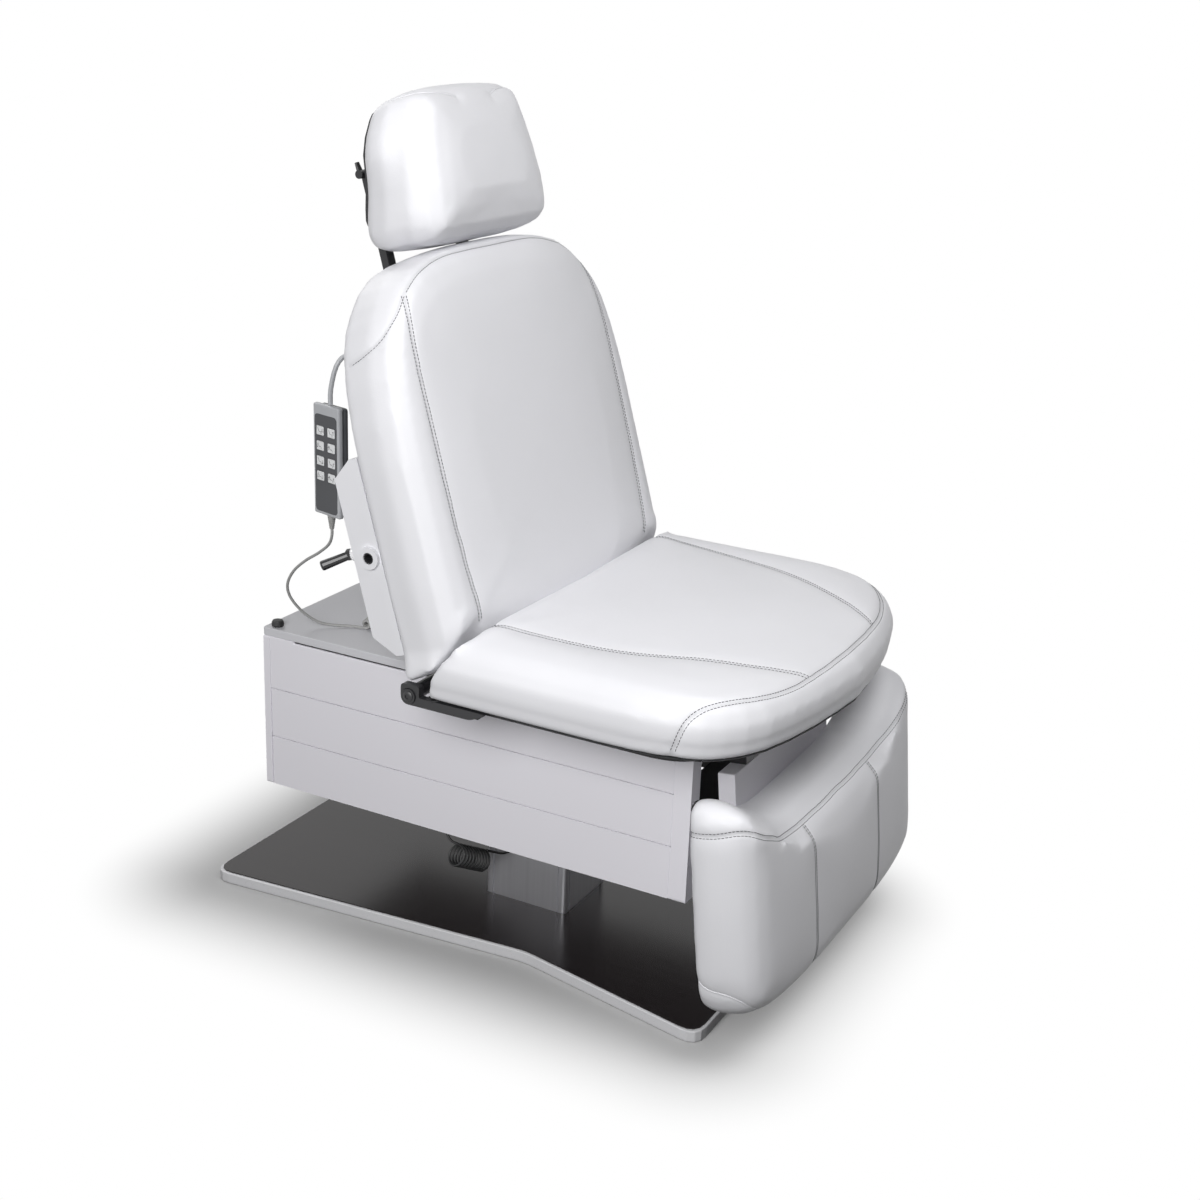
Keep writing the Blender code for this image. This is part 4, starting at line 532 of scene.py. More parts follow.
def points_of(ob):
    flat = np.empty(len(ob.data.vertices) * 3)
    ob.data.vertices.foreach_get("co", flat)
    return flat.reshape(-1, 3)


def nearest_on(line_points, points):
    """Distance of each point from a cloud of line points, and which one is nearest."""
    tree = KDTree(len(line_points))
    for i, p in enumerate(line_points):
        tree.insert(p, i)
    tree.balance()
    found = [tree.find(p) for p in points]
    return np.array([f[2] for f in found]), np.array([f[1] for f in found])


print("net helpers ready")

# %% [markdown]
# The net is then blown up as cloth with its seams and its board side held.
# The panels between the seams puff out as stuffed leather does.
# A cap on the movement keeps every cushion in the room that the CAD gives it.

# %% Stuffing a cushion
CAP = 0.0050
FRAMES = 20
CLOTH_QUALITY, CLOTH_MASS, CLOTH_STIFF, CLOTH_BEND, PRESSURE = 4, 0.3, 12.0, 1.5, 4.0
OWN_SHARE, NEIGHBOUR_SHARE = 0.4, 0.6
HELD_LEAST = 0.01
TINY = 1e-9


def evened_out(ob, moved, held, rounds):
    """The movement of each point, averaged with its neighbours so that no small crumple is left."""
    ends = np.empty(len(ob.data.edges) * 2, dtype=int)
    ob.data.edges.foreach_get("vertices", ends)
    a, b = ends.reshape(-1, 2).T
    count = np.bincount(np.concatenate((a, b)), minlength=len(moved))[:, None]
    for turn in range(rounds):
        total = np.zeros_like(moved)
        np.add.at(total, a, moved[b])
        np.add.at(total, b, moved[a])
        moved = (OWN_SHARE * moved + NEIGHBOUR_SHARE * total / count) * (1.0 - held[:, None])
    return moved


def stuff(ob, held, calm):
    """Blows the net up as cloth with the held points kept still, evens the movement out and caps it."""
    start = points_of(ob)
    group = ob.vertex_groups.new(name="held")
    for index in np.nonzero(held > HELD_LEAST)[0]:
        group.add([int(index)], float(held[index]), "REPLACE")
    cloth = ob.modifiers.new("cloth", "CLOTH")
    cloth.settings.quality = CLOTH_QUALITY
    cloth.settings.mass = CLOTH_MASS
    cloth.settings.tension_stiffness = CLOTH_STIFF
    cloth.settings.compression_stiffness = CLOTH_STIFF
    cloth.settings.bending_stiffness = CLOTH_BEND
    cloth.settings.use_pressure = True
    cloth.settings.uniform_pressure_force = PRESSURE
    cloth.settings.vertex_group_mass = "held"
    cloth.settings.effector_weights.gravity = 0.0
    cloth.point_cache.frame_start = 1
    cloth.point_cache.frame_end = FRAMES
    for number in range(1, FRAMES + 1):
        bpy.context.scene.frame_set(number)
    settled(ob)
    bpy.context.scene.frame_set(1)
    moved = evened_out(ob, points_of(ob) - start, held, calm)
    size = np.linalg.norm(moved, axis=1, keepdims=True)
    capped = start + moved * np.minimum(1.0, CAP / np.maximum(size, TINY))
    ob.data.vertices.foreach_set("co", capped.ravel())
    ob.data.update()
    print("  stuffed", len(start), "points, most moved mm", round(1000 * float(size.max()), 1))


print("stuffing helpers ready")

# %% [markdown]
# A seam is a line on the cushion where two panels are sewn together.
# Its points are written only roughly on the surface, so the line is laid on the mesh and eased a few times.

# %% Laying a line on a cushion
LINE_STEP = 0.002
LAY_TURNS, LINE_EASE, NORMAL_EASE = 3, 14, 12


def surface_of(ob):
    return BVHTree.FromPolygons([v.co for v in ob.data.vertices], [p.vertices[:] for p in ob.data.polygons])


def evened(line, step=LINE_STEP):
    """The same line with one point about every step metres."""
    flat = np.array(line)
    lengths = np.concatenate(([0.0], np.cumsum(np.linalg.norm(np.diff(flat, axis=0), axis=1))))
    marks = np.linspace(0.0, lengths[-1], max(2, round(lengths[-1] / step)) + 1)
    return [Vector(p) for p in np.stack([np.interp(marks, lengths, flat[:, k]) for k in range(3)], 1)]


def eased(values, rounds):
    """Each value moved towards the mean of its neighbours, with both ends kept."""
    flat = np.array(values)
    for turn in range(rounds):
        flat[1:-1] = 0.25 * flat[:-2] + 0.5 * flat[1:-1] + 0.25 * flat[2:]
    return [Vector(v) for v in flat]


def laid_on(tree, line):
    """Points and smooth normals where the line lies on the surface."""
    line = [tree.find_nearest(p)[0] for p in line]
    for turn in range(LAY_TURNS):
        line = [tree.find_nearest(p)[0] for p in eased(evened(line), LINE_EASE)]
    line = evened(line)
    normals = eased([tree.find_nearest(p)[1] for p in line], NORMAL_EASE)
    return line, [n.normalized() for n in normals]


print("one point every", LINE_STEP, "metres on a seam")

# %% [markdown]
# Along a seam the leather is drawn in, in a wide hollow with a narrow one in its middle.
# It puckers slightly between the stitches, so a small wave runs beside the seam.

# %% Drawing in along the seams
SEAM_WIDE, SEAM_WIDE_DEPTH = 0.013, 0.0012
SEAM_NARROW, SEAM_NARROW_DEPTH = 0.0034, 0.0012
PUCKER, PUCKER_LENGTH, PUCKER_REACH, PUCKER_START, PUCKER_BEAT = 0.00022, 0.017, 0.012, 0.004, 2.7
SEAM_SHADE, SEAM_SHADE_REACH = 0.8, 0.0022


def sew(ob, seams):
    """Draws the cushion in along its seams and notes how near each point is to one."""
    tree = surface_of(ob)
    lines = [laid_on(tree, seam)[0] for seam in seams]
    cloud = [p for line in lines for p in line]
    along = np.concatenate([np.arange(len(line)) * LINE_STEP for line in lines])
    points = points_of(ob)
    distance, index = nearest_on(cloud, points)
    normals = np.array([v.normal for v in ob.data.vertices])
    wide = SEAM_WIDE_DEPTH * np.exp(-(distance / SEAM_WIDE) ** 2)
    narrow = SEAM_NARROW_DEPTH * np.exp(-(distance / SEAM_NARROW) ** 2)
    turns = 2 * math.pi * along[index]
    wave = np.sin(turns / PUCKER_LENGTH) * np.cos(turns / (PUCKER_LENGTH * PUCKER_BEAT))
    beside = np.exp(-distance / PUCKER_REACH) * (1 - np.exp(-(distance / PUCKER_START) ** 2))
    drawn = wide + narrow + PUCKER * wave * beside
    ob.data.vertices.foreach_set("co", (points - normals * drawn[:, None]).ravel())
    # The seam value marks where the leather is painted greyer: painted shade in the crease.
    value = ob.data.attributes.new("seam", "FLOAT", "POINT")
    value.data.foreach_set("value", (SEAM_SHADE * np.exp(-(distance / SEAM_SHADE_REACH) ** 2)).astype(np.float32))
    ob.data.update()


print("seams are drawn in by", SEAM_WIDE_DEPTH + SEAM_NARROW_DEPTH, "metres")

# %% [markdown]
# Two rows of top-stitching run beside most seams.
# The stitches are little rods of thread, bowed into the leather at both ends, as they are on the real chair.

# %% Rows of stitches
STITCH_PITCH, STITCH_LENGTH, STITCH_RADIUS = 0.0052, 0.0037, 0.00048
STITCH_BOW = (-0.0004, 0.00022, 0.00034, 0.00022, -0.0004)
STITCH_SHARES = np.array((0.0, 0.25, 0.5, 0.75, 1.0))
ROW_OFFSET, ROW_START, ROW_REACH = 0.0034, 0.003, 3
THREAD_SIDES = 6


def stitch_rows(name, ob, seams, carrier, offsets=(-ROW_OFFSET, ROW_OFFSET)):
    """Rows of thread beside each seam, laid on the finished cushion."""
    tree = surface_of(ob)
    vertices, faces = [], []
    for seam in seams:
        line, normals = laid_on(tree, seam)
        for offset in offsets:
            row = []
            for i, (p, n) in enumerate(zip(line, normals)):
                t = line[min(i + ROW_REACH, len(line) - 1)] - line[max(i - ROW_REACH, 0)]
                side = n.cross(t)
                row.append(p + side.normalized() * offset if side.length > TINY else p)
            lengths = np.cumsum([0.0] + [(b - a).length for a, b in zip(row, row[1:])])
            flat = np.array(row)
            for start in np.arange(ROW_START, lengths[-1] - STITCH_PITCH, STITCH_PITCH):
                samples = start + STITCH_LENGTH * STITCH_SHARES
                spots = np.stack([np.interp(samples, lengths, flat[:, k]) for k in range(3)], 1)
                thread = []
                for spot, lift in zip(spots, STITCH_BOW):
                    hit, normal, face, gap = tree.find_nearest(Vector(spot))
                    thread.append(hit + normal * lift)
                v, f = tube_mesh(thread, STITCH_RADIUS, THREAD_SIDES)
                faces += [[k + len(vertices) for k in loop] for loop in f]
                vertices += v
    made = piece(name, vertices, faces, THREAD, carrier)
    print("  ", name, len(vertices) // (THREAD_SIDES * len(STITCH_BOW)), "stitches")
    return made


print("stitches every", STITCH_PITCH, "metres")

# %% [markdown]
# One function takes a cushion from start to end, so that all four are made the same way.
# A cushion that needs a form of its own brings a function that moves its points just before it is sewn.

# %% A cushion from start to end
SEAM_HELD, SEAM_HELD_REACH = 1.4, 0.008


def gently(share):
    """Goes from 0 to 1 with a soft start and end."""
    share = np.clip(share, 0, 1)
    return share * share * (3 - 2 * share)


def fitted(ob, node, frame):
    """Stretches the cushion along the axes of its frame until it fills the box of its CAD pad."""
    turn, at = np.array(frame.to_3x3()), np.array(frame.translation)
    points = (points_of(ob) - at) @ turn
    pad = (np.array([v.co for v in NODES[node].data.vertices]) - at) @ turn
    share = (points - points.min(0)) / np.ptp(points, axis=0)
    points = (pad.min(0) + share * np.ptp(pad, axis=0)) @ turn.T + at
    ob.data.vertices.foreach_set("co", points.ravel())
    ob.data.update()


def cushion(name, node, seams, held_side, frame=ROW_FRAME, voxel=0.006, rounds=4, calm=16, shape=None):
    """One cushion from start to end: net, stuffing, one finer level, fit and seams."""
    ob = net_of(node, voxel, rounds)
    ob.name = name
    ob.data.name = name
    tree = surface_of(ob)
    fine = [laid_on(tree, smooth_line(seam, LINE_STEP))[0] for seam in seams]
    points = points_of(ob)
    near, index = nearest_on([p for line in fine for p in line], points)
    held = np.maximum(np.clip(SEAM_HELD - near / SEAM_HELD_REACH, 0, 1), held_side(points))
    stuff(ob, held, calm)
    ob.vertex_groups.clear()
    finer = ob.modifiers.new("finer", "SUBSURF")
    finer.levels = 1
    finer.render_levels = 1
    settled(ob)
    fitted(ob, node, frame)
    if shape:
        shape(ob)
    sew(ob, fine)
    ob.data.materials.clear()
    ob.data.materials.append(LEATHER)
    ob.data.polygons.foreach_set("use_smooth", [True] * len(ob.data.polygons))
    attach(ob, NODES[node]["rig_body"])
    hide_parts(node)
    print(name, len(ob.data.vertices), "points")
    return ob, fine


print("cushion helper ready")

# %% [markdown]
# The seat. Two seams run forward from the back and draw together at the front.
# A boxing seam follows the front edge and drops down at both sides.
# The leather turns under in a crisp edge, so the lowest few millimetres are pushed out to the line of the sides.
# The pad swells up where it meets the back, so its top rises by a finger's breadth towards the rear.

# %% Seat cushion
seat_side_seam = [(0.2500, -0.041, 0.5545), (0.2500, -0.060, 0.556), (0.2460, -0.125, 0.5565), (0.2380, -0.195, 0.557),
                  (0.2270, -0.250, 0.557), (0.2090, -0.300, 0.557), (0.1850, -0.355, 0.555), (0.1640, -0.400, 0.551),
                  (0.1440, -0.437, 0.546), (0.1310, -0.457, 0.540), (0.1230, -0.4715, 0.532)]
seat_front_half = [(0.3265, -0.362, 0.4650), (0.3268, -0.3719, 0.4964), (0.3197, -0.3800, 0.5196),
                   (0.2918, -0.4042, 0.5352), (0.2316, -0.4427, 0.5335), (0.1740, -0.4620, 0.5300),
                   (0.1113, -0.4722, 0.5318), (0.0500, -0.4775, 0.5340), (0.0, -0.4792, 0.5346)]
seat_seams = [seat_side_seam, flipped(seat_side_seam), both_sides(seat_front_half)]
SEAT_FOOT_Z, SEAT_FOOT_HEIGHT, SEAT_FOOT_OUT = 0.4598, 0.024, 0.0048
SEAT_RISE, SEAT_RISE_FROM, SEAT_RISE_TO = 0.012, -0.27, -0.03
SEAT_RISE_HALF, SEAT_RISE_FADE, SEAT_TALL = 0.23, 0.09, 0.09
SIDEWAYS_FROM, SIDEWAYS_FADE = 0.15, 0.35
SEAT_HELD, SEAT_HELD_TALL = 1.5, 0.012


def shape_seat(ob):
    """Pushes the lowest few millimetres out, where they face sideways, and lifts the top towards the rear."""
    points = points_of(ob)
    out = np.array([v.normal for v in ob.data.vertices]) * (1, 1, 0)
    size = np.linalg.norm(out, axis=1, keepdims=True)
    low = gently(1.0 - (points[:, 2:] - SEAT_FOOT_Z) / SEAT_FOOT_HEIGHT)
    near = low * np.clip((size - SIDEWAYS_FROM) / SIDEWAYS_FADE, 0, 1)
    points = points + out / np.maximum(size, TINY) * near * SEAT_FOOT_OUT
    back = np.clip((points[:, 1] - SEAT_RISE_FROM) / (SEAT_RISE_TO - SEAT_RISE_FROM), 0, 1) ** 2
    wide = 1.0 - gently((np.abs(points[:, 0]) - SEAT_RISE_HALF) / SEAT_RISE_FADE)
    points[:, 2] += SEAT_RISE * back * wide * np.clip((points[:, 2] - SEAT_FOOT_Z) / SEAT_TALL, 0, 1)
    ob.data.vertices.foreach_set("co", points.ravel())
    ob.data.update()


def seat_held(points):
    return np.clip(SEAT_HELD - (points[:, 2] - SEAT_FOOT_Z) / SEAT_HELD_TALL, 0, 1)


seat, seat_lines = cushion("seat_upholstery", "seat_cushion", seat_seams, seat_held, shape=shape_seat)
stitch_rows("seat_stitching", seat, seat_lines, "seat_cushion")

# %% [markdown]
# The back. A wide front panel runs from the seat to the top edge between two long seams.
# A short seam on each side of the top closes the boxing.
# The lower corners are filled out, so that the sides come straight down to the seat.

# %% Back cushion


def on_back(line):
    return [tuple(BACK_FRAME @ Vector(p)) for p in line]


back_long = on_back([(0.2380, -0.0800, 0.5417), (0.2530, -0.0930, 0.5000), (0.2620, -0.0990, 0.4500),
                     (0.2645, -0.1000, 0.3600), (0.2640, -0.1000, 0.2700), (0.2605, -0.1000, 0.1700),
                     (0.2530, -0.1000, 0.0880), (0.2520, -0.0990, 0.0730)])
back_top = on_back(both_sides([(0.2380, -0.0800, 0.5417), (0.2119, -0.0803, 0.5573), (0.1807, -0.0798, 0.5702),
                               (0.1415, -0.0785, 0.5798), (0.1023, -0.0790, 0.5836), (0.0527, -0.0805, 0.5838),
                               (0.0, -0.0815, 0.5836)]))
back_boxing = on_back([(0.2381, -0.0793, 0.5417), (0.2548, -0.0799, 0.5262), (0.2645, -0.0790, 0.5168),
                       (0.2899, -0.0614, 0.4867), (0.2979, -0.0318, 0.4707), (0.2976, -0.0045, 0.4611)])
BACK_HELD_FROM, BACK_HELD_DEPTH = -0.020, 0.010
BACK_CORNER_OUT, BACK_CORNER_TALL = 0.012, 0.05
BACK_CORNER_FROM, BACK_CORNER_FADE = 0.17, 0.08
EDGE_ROW = (0.0024,)


def back_held(points):
    local = (points - np.array(BACK_PIVOT)) @ np.array(Matrix.Rotation(-BACK_LEAN, 3, "X"))
    return np.clip((local[:, 1] - BACK_HELD_FROM) / BACK_HELD_DEPTH, 0, 1)


def fill_corners(ob):
    """Pushes the lower corners of the back out, so that the sides come straight down to the seat."""
    turn, at = np.array(BACK_FRAME.to_3x3()), np.array(BACK_FRAME.translation)
    local = (points_of(ob) - at) @ turn
    low = gently(1.0 - (local[:, 2] - local[:, 2].min()) / BACK_CORNER_TALL)
    side = gently((np.abs(local[:, 0]) - BACK_CORNER_FROM) / BACK_CORNER_FADE)
    local[:, 0] += np.sign(local[:, 0]) * BACK_CORNER_OUT * low * side
    ob.data.vertices.foreach_set("co", (local @ turn.T + at).ravel())
    ob.data.update()


back_seams = [back_long, flipped(back_long), back_top, back_boxing, flipped(back_boxing)]
back, back_lines = cushion("back_upholstery", "back_cushion", back_seams, back_held, BACK_FRAME, shape=fill_corners)
stitch_rows("back_stitching", back, back_lines[:2], "back_cushion")
stitch_rows("back_edge_stitching", back, back_lines[2:], "back_cushion", EDGE_ROW)

# %% [markdown]
# Some seams are piped: a thin cord covered in leather is sewn in between the panels.
# It is half sunk in the cushion and thins out at both ends.

# %% Piping
HEAD_PIPE, LEG_PIPE = 0.0009, 0.0011
PIPE_SIDES, PIPE_THIN, PIPE_TAPER = 8, 0.25, 8


def piping(name, ob, seam, radius, carrier):
    """A thin cord of leather along a seam, half sunk in the cushion."""
    line, normals = laid_on(surface_of(ob), seam)
    ends = [min(k, len(line) - 1 - k) for k in range(len(line))]
    slim = [radius * min(1.0, PIPE_THIN + k / PIPE_TAPER) for k in ends]
    return piece(name, *tube_mesh(line, radius, PIPE_SIDES, slim), LEATHER, carrier)


print("piping radii", HEAD_PIPE, LEG_PIPE)

# %% [markdown]
# The head rest is smaller and has no top-stitching.
# A piped seam follows the edge of its top on each side and runs out in a soft crease at the front.
# Stuffing sags towards the rear, so the rear edge hangs lower than the plain pad.
# The leather wraps round the cover's edge.

# %% Shape of the head rest
HEAD_REAR_Y, HEAD_LOW_Z, HEAD_TALL = 0.2297, 1.05, 0.20
HEAD_DROP, HEAD_DROP_DEPTH = 0.016, 0.065
HEAD_WRAP, HEAD_WRAP_DEPTH = 0.0066, 0.018
HEAD_BELLY, HEAD_BELLY_TALL = 0.0035, 0.05
HEAD_SQUARE, SQUARE_FROM, SQUARE_TO = 0.018, 1.12, 1.20
SQUARE_HALF, HIGH_SHARE = 0.10, 0.25
HEAD_HELD_FROM, HEAD_HELD_DEPTH = 0.212, 0.010


def squarer(x, z):
    """How far a point near an upper corner goes out sideways, as a share with its sign."""
    return gently((z - SQUARE_FROM) / (SQUARE_TO - SQUARE_FROM)) * np.clip(x / SQUARE_HALF, -1, 1)


def lean_head(ob):
    """Lowers the rear of the head rest and wraps its leather round the edge of the cover."""
    points = points_of(ob)
    depth = HEAD_REAR_Y - points[:, 1]
    high = np.clip((points[:, 2] - HEAD_LOW_Z) / HEAD_TALL, 0, 1)
    rear = gently(1.0 - depth / HEAD_DROP_DEPTH)
    points[:, 0] += HEAD_SQUARE * rear * squarer(points[:, 0], points[:, 2])
    points[:, 2] -= HEAD_DROP * (1.0 - HIGH_SHARE * high) * rear
    points[:, 2] -= HEAD_BELLY * gently(1.0 - (points[:, 2] - points[:, 2].min()) / HEAD_BELLY_TALL)
    points[:, 1] += HEAD_WRAP * gently(1.0 - depth / HEAD_WRAP_DEPTH)
    ob.data.vertices.foreach_set("co", points.ravel())
    ob.data.update()


def head_held(points):
    return np.clip((points[:, 1] - HEAD_HELD_FROM) / HEAD_HELD_DEPTH, 0, 1)


head_side = [(0.1360, 0.2305, 1.2270), (0.1325, 0.2180, 1.2370), (0.1270, 0.2001, 1.2468), (0.1240, 0.1880, 1.2514),
             (0.1060, 0.1736, 1.2550), (0.0816, 0.1665, 1.2545), (0.0606, 0.1635, 1.2519), (0.0459, 0.1596, 1.2475)]
head, head_lines = cushion("headrest_upholstery", "headrest_cushion", [head_side, flipped(head_side)], head_held,
                           voxel=0.005, calm=70, shape=lean_head)
for side_name, line in zip(("left", "right"), head_lines):
    piping(f"headrest_piping_{side_name}", head, line, HEAD_PIPE, "headrest_cushion")

# %% [markdown]
# The hard cover behind the head rest has its upper rim lowered, and its upper corners moved out, with the leather.
# It then stays behind the leather. The lever is drawn a little smaller round its own axis.
# A CAD mesh is never changed, so each is a copy with moved points that takes the node's place.

# %% Cover and lever of the head rest
RIM_DROP, RIM_FROM, RIM_TO = 0.015, 1.15, 1.21
LEVER_AXIS, LEVER_SIZE = Vector((0, 0.2733, 1.1349)), 0.78


def reshaped(name, node, move):
    """A copy of a CAD node with its points moved, which takes the node's place."""
    mesh = NODES[node].data
    vertices = [move(v.co.copy()) for v in mesh.vertices]
    faces = [f.vertices[:] for f in mesh.polygons]
    ob = piece(name, vertices, faces, finish_for(node), node, smooth=False)
    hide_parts(node)
    return ob


def lower_rim(p):
    drop = RIM_DROP * gently((p.z - RIM_FROM) / (RIM_TO - RIM_FROM))
    return p + Vector((HEAD_SQUARE * squarer(p.x, p.z), 0, -drop))


def smaller_lever(p):
    return Vector((p.x, *(LEVER_AXIS + (p - LEVER_AXIS) * LEVER_SIZE).yz))


reshaped("headrest_shell", "headrest_cover", lower_rim)
reshaped("headrest_knob", "headrest_lever", smaller_lever)
print("cover rim lowered by", RIM_DROP, "and lever drawn at", LEVER_SIZE)

# %% [markdown]
# The leg rest has two lobes at the top. A seam follows its top edge in a wave.
# Two seams run down the front and a piped one closes the bottom.

# %% Leg rest cushion


def on_leg(line):
    return [tuple(LEG_FRAME @ Vector(p)) for p in line]


leg_top = on_leg(both_sides([(0.3160, -0.0020, -0.0650), (0.3170, -0.0131, -0.0630), (0.3247, -0.0305, -0.0554),
                             (0.3245, -0.0473, -0.0519), (0.3199, -0.0655, -0.0437), (0.3114, -0.0814, -0.0350),
                             (0.3010, -0.0928, -0.0385), (0.2823, -0.1061, -0.0475), (0.2500, -0.1110, -0.0580),
                             (0.2050, -0.1085, -0.0730), (0.1661, -0.1050, -0.0840), (0.1355, -0.1032, -0.0900),
                             (0.0980, -0.1030, -0.0920), (0.0450, -0.1028, -0.0934), (0.0, -0.1026, -0.0930)]))
leg_front = on_leg([(0.1250, -0.1042, -0.0943), (0.1265, -0.1215, -0.1118), (0.1255, -0.1350, -0.1470),
                    (0.1260, -0.1450, -0.1930), (0.1240, -0.1555, -0.2450), (0.1225, -0.1560, -0.3000),
                    (0.1215, -0.1400, -0.3380)])
leg_bottom = on_leg(both_sides([(0.3180, -0.0100, -0.2780), (0.3213, -0.0749, -0.2786), (0.3194, -0.1077, -0.2745),
                                (0.3073, -0.1292, -0.2842), (0.2830, -0.1430, -0.3060), (0.2450, -0.1400, -0.3300),
                                (0.1800, -0.1400, -0.3380), (0.0900, -0.1400, -0.3400), (0.0, -0.1400, -0.3400)]))
LEG_HELD_FROM, LEG_HELD_DEPTH = -0.010, 0.008
FRONT_ROWS = (-0.0026, 0.0026)


def leg_held(points):
    local = (points - np.array(LEG_PIVOT)) @ np.array(Matrix.Rotation(LEG_LEAN, 3, "X"))
    return np.clip((local[:, 1] - LEG_HELD_FROM) / LEG_HELD_DEPTH, 0, 1)


leg_seams = [leg_top, leg_front, flipped(leg_front), leg_bottom]
leg, leg_lines = cushion("leg_upholstery", "leg_cushion", leg_seams, leg_held, LEG_FRAME, rounds=10)
stitch_rows("leg_stitching", leg, leg_lines[:1], "leg_cushion")
stitch_rows("leg_front_stitching", leg, leg_lines[1:3], "leg_cushion", FRONT_ROWS)
piping("leg_bottom_piping", leg, leg_lines[3], LEG_PIPE, "leg_cushion")

# %% [markdown]
# Small turned pieces come up all over the chair: collars, screws, cups, ribbed sleeves.
# Each is a profile of radius and height spun round an axis, so one helper makes them all.
# Ridges along the axis, as on a knurled collar, only need the radius to wave as it goes round.

# %% Turned pieces
CRISP = math.radians(38)
STEPS_PER_RIDGE = 6


def turned(name, profile, place, finish, carrier, sides=32, ridges=0, depth=0.0):
    """A profile of (radius, height) spun round the local Z of place. It starts and ends on the axis, so it is closed."""
    sides = ridges * STEPS_PER_RIDGE if ridges else sides
    vertices, faces = [place @ Vector((0, 0, profile[0][1]))], []
    for r, h in profile[1:-1]:
        for k in range(sides):
            angle = 2 * math.pi * k / sides
            wide = r * (1 + depth * math.cos(ridges * angle))
            vertices.append(place @ Vector((wide * math.cos(angle), wide * math.sin(angle), h)))
    vertices.append(place @ Vector((0, 0, profile[-1][1])))
    rings = len(profile) - 2
    for k in range(sides):
        n = (k + 1) % sides
        faces.append([0, 1 + n, 1 + k])
        for i in range(rings - 1):
            low, high = 1 + i * sides, 1 + (i + 1) * sides
            faces.append([low + k, low + n, high + n, high + k])
        faces.append([1 + (rings - 1) * sides + k, 1 + (rings - 1) * sides + n, len(vertices) - 1])
    ob = piece(name, vertices, faces, finish, carrier)
    crisp = ob.modifiers.new("crisp edges", "EDGE_SPLIT")
    crisp.split_angle = CRISP
    return settled(ob)


def outward(side):
    """Turns local Z to the left or right of the chair."""
    return Matrix.Rotation(math.copysign(math.pi / 2, side), 4, "Y")


SIDES = (("right", -1.0), ("left", 1.0))
print("turning helper ready")

# %% [markdown]
# The arm sockets are lined with a black ribbed cup, and a clamp lever behind each one has a knurled chrome collar.
# The pivot of the back shows a round screw head on each hinge, with a socket in its middle.

# %% Sockets, collars and hinge screws
SOCKET_AT = Vector((0.3122, 0.029, 0.196))
CLAMP_AT = Vector((0.296, 0.0584, 0.202))
SCREW_AT = Vector((0.336, 0, 0))
REARWARD = Matrix.Rotation(-math.pi / 2, 4, "X")
CUP = [(0, -0.0200), (0.0078, -0.0200), (0.0078, -0.0004), (0.0074, 0.0002), (0.0066, 0.0002), (0.0060, -0.0008),
       (0.0056, -0.0150), (0, -0.0150)]
COLLAR = [(0, 0.0), (0.0094, 0.0), (0.0099, 0.0008), (0.0099, 0.0062), (0.0094, 0.0070), (0, 0.0070)]
SCREW = [(0, -0.0006), (0.0078, -0.0006), (0.0078, 0.0008), (0.0064, 0.0020), (0.0036, 0.0024), (0.0032, 0.0010),
         (0, 0.0008)]
CUP_RIDGES, CUP_RIDGE_DEPTH = 12, 0.06
COLLAR_RIDGES, COLLAR_RIDGE_DEPTH = 22, 0.035


def on_side(at, side):
    """A place on the back, given for the left, on the side asked for."""
    return BACK_FRAME @ Matrix.Translation(Vector((side * at.x, at.y, at.z)))


for side_name, side in SIDES:
    turned(f"socket_cup_{side_name}", CUP, on_side(SOCKET_AT, side) @ outward(side), BLACK_PLASTIC,
           f"arm_bracket_{side_name}", ridges=CUP_RIDGES, depth=CUP_RIDGE_DEPTH)
    turned(f"clamp_collar_{side_name}", COLLAR, on_side(CLAMP_AT, side) @ REARWARD, CHROME, f"clamp_lever_{side_name}",
           ridges=COLLAR_RIDGES, depth=COLLAR_RIDGE_DEPTH)
    turned(f"hinge_screw_{side_name}", SCREW, on_side(SCREW_AT, side) @ outward(side), BLACK_COAT, "back_frame")
print("sockets, collars and screws made")

# %% [markdown]
# A ribbed sleeve of soft plastic keeps the cord from kinking where it leaves the hand control.
# Its profile steps in and out as it narrows to the cord.

# %% Ribbed sleeve of the cord
RIBS, RIB_DEPTH = 7, 0.0011
RIB_STEPS = ((0.10, 0.0), (0.62, 0.0), (0.70, RIB_DEPTH), (0.94, RIB_DEPTH))
SLEEVE_TOP, SLEEVE_LOW = -0.0818, -0.1022
SLEEVE_WIDE, SLEEVE_SLIM = 0.0064, 0.0034

sleeve = [(0, SLEEVE_TOP), (SLEEVE_WIDE, SLEEVE_TOP)]
for rib in range(RIBS):
    for share, deep in RIB_STEPS:
        down = (rib + share) / RIBS
        wide = SLEEVE_WIDE + (SLEEVE_SLIM - SLEEVE_WIDE) * down
        sleeve.append((wide - deep, SLEEVE_TOP + (SLEEVE_LOW - SLEEVE_TOP) * down))
sleeve += [(SLEEVE_SLIM, SLEEVE_LOW), (0, SLEEVE_LOW)]
sleeve_ob = turned("strain_relief_sleeve", sleeve, HAND_FRAME, GREY_CORD, "handset_strain_relief", 28)
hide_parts("handset_strain_relief")
print("sleeve ribs", RIBS)

# %% [markdown]
# The hand control has a charcoal film over its front, with a window round each key.
# A flat curve whose inner loops are holes, given a little thickness, makes a plate with round-cornered windows.

# %% Film of the hand control
FILM_HALF, FILM_LOW, FILM_HIGH, FILM_CORNER = 0.0236, -0.0765, 0.0670, 0.006
FILM_FRONT, FILM_THICK = -0.0092, 0.0006
WINDOW_GAP, WINDOW_CORNER = 0.0004, 0.0024
HAND_FACE = HAND_FRAME @ Matrix(((0, 0, 1, FILM_FRONT), (1, 0, 0, 0), (0, 1, 0, 0), (0, 0, 0, 1)))
KEYS = sorted(name for name in NODES if name.startswith("key_"))


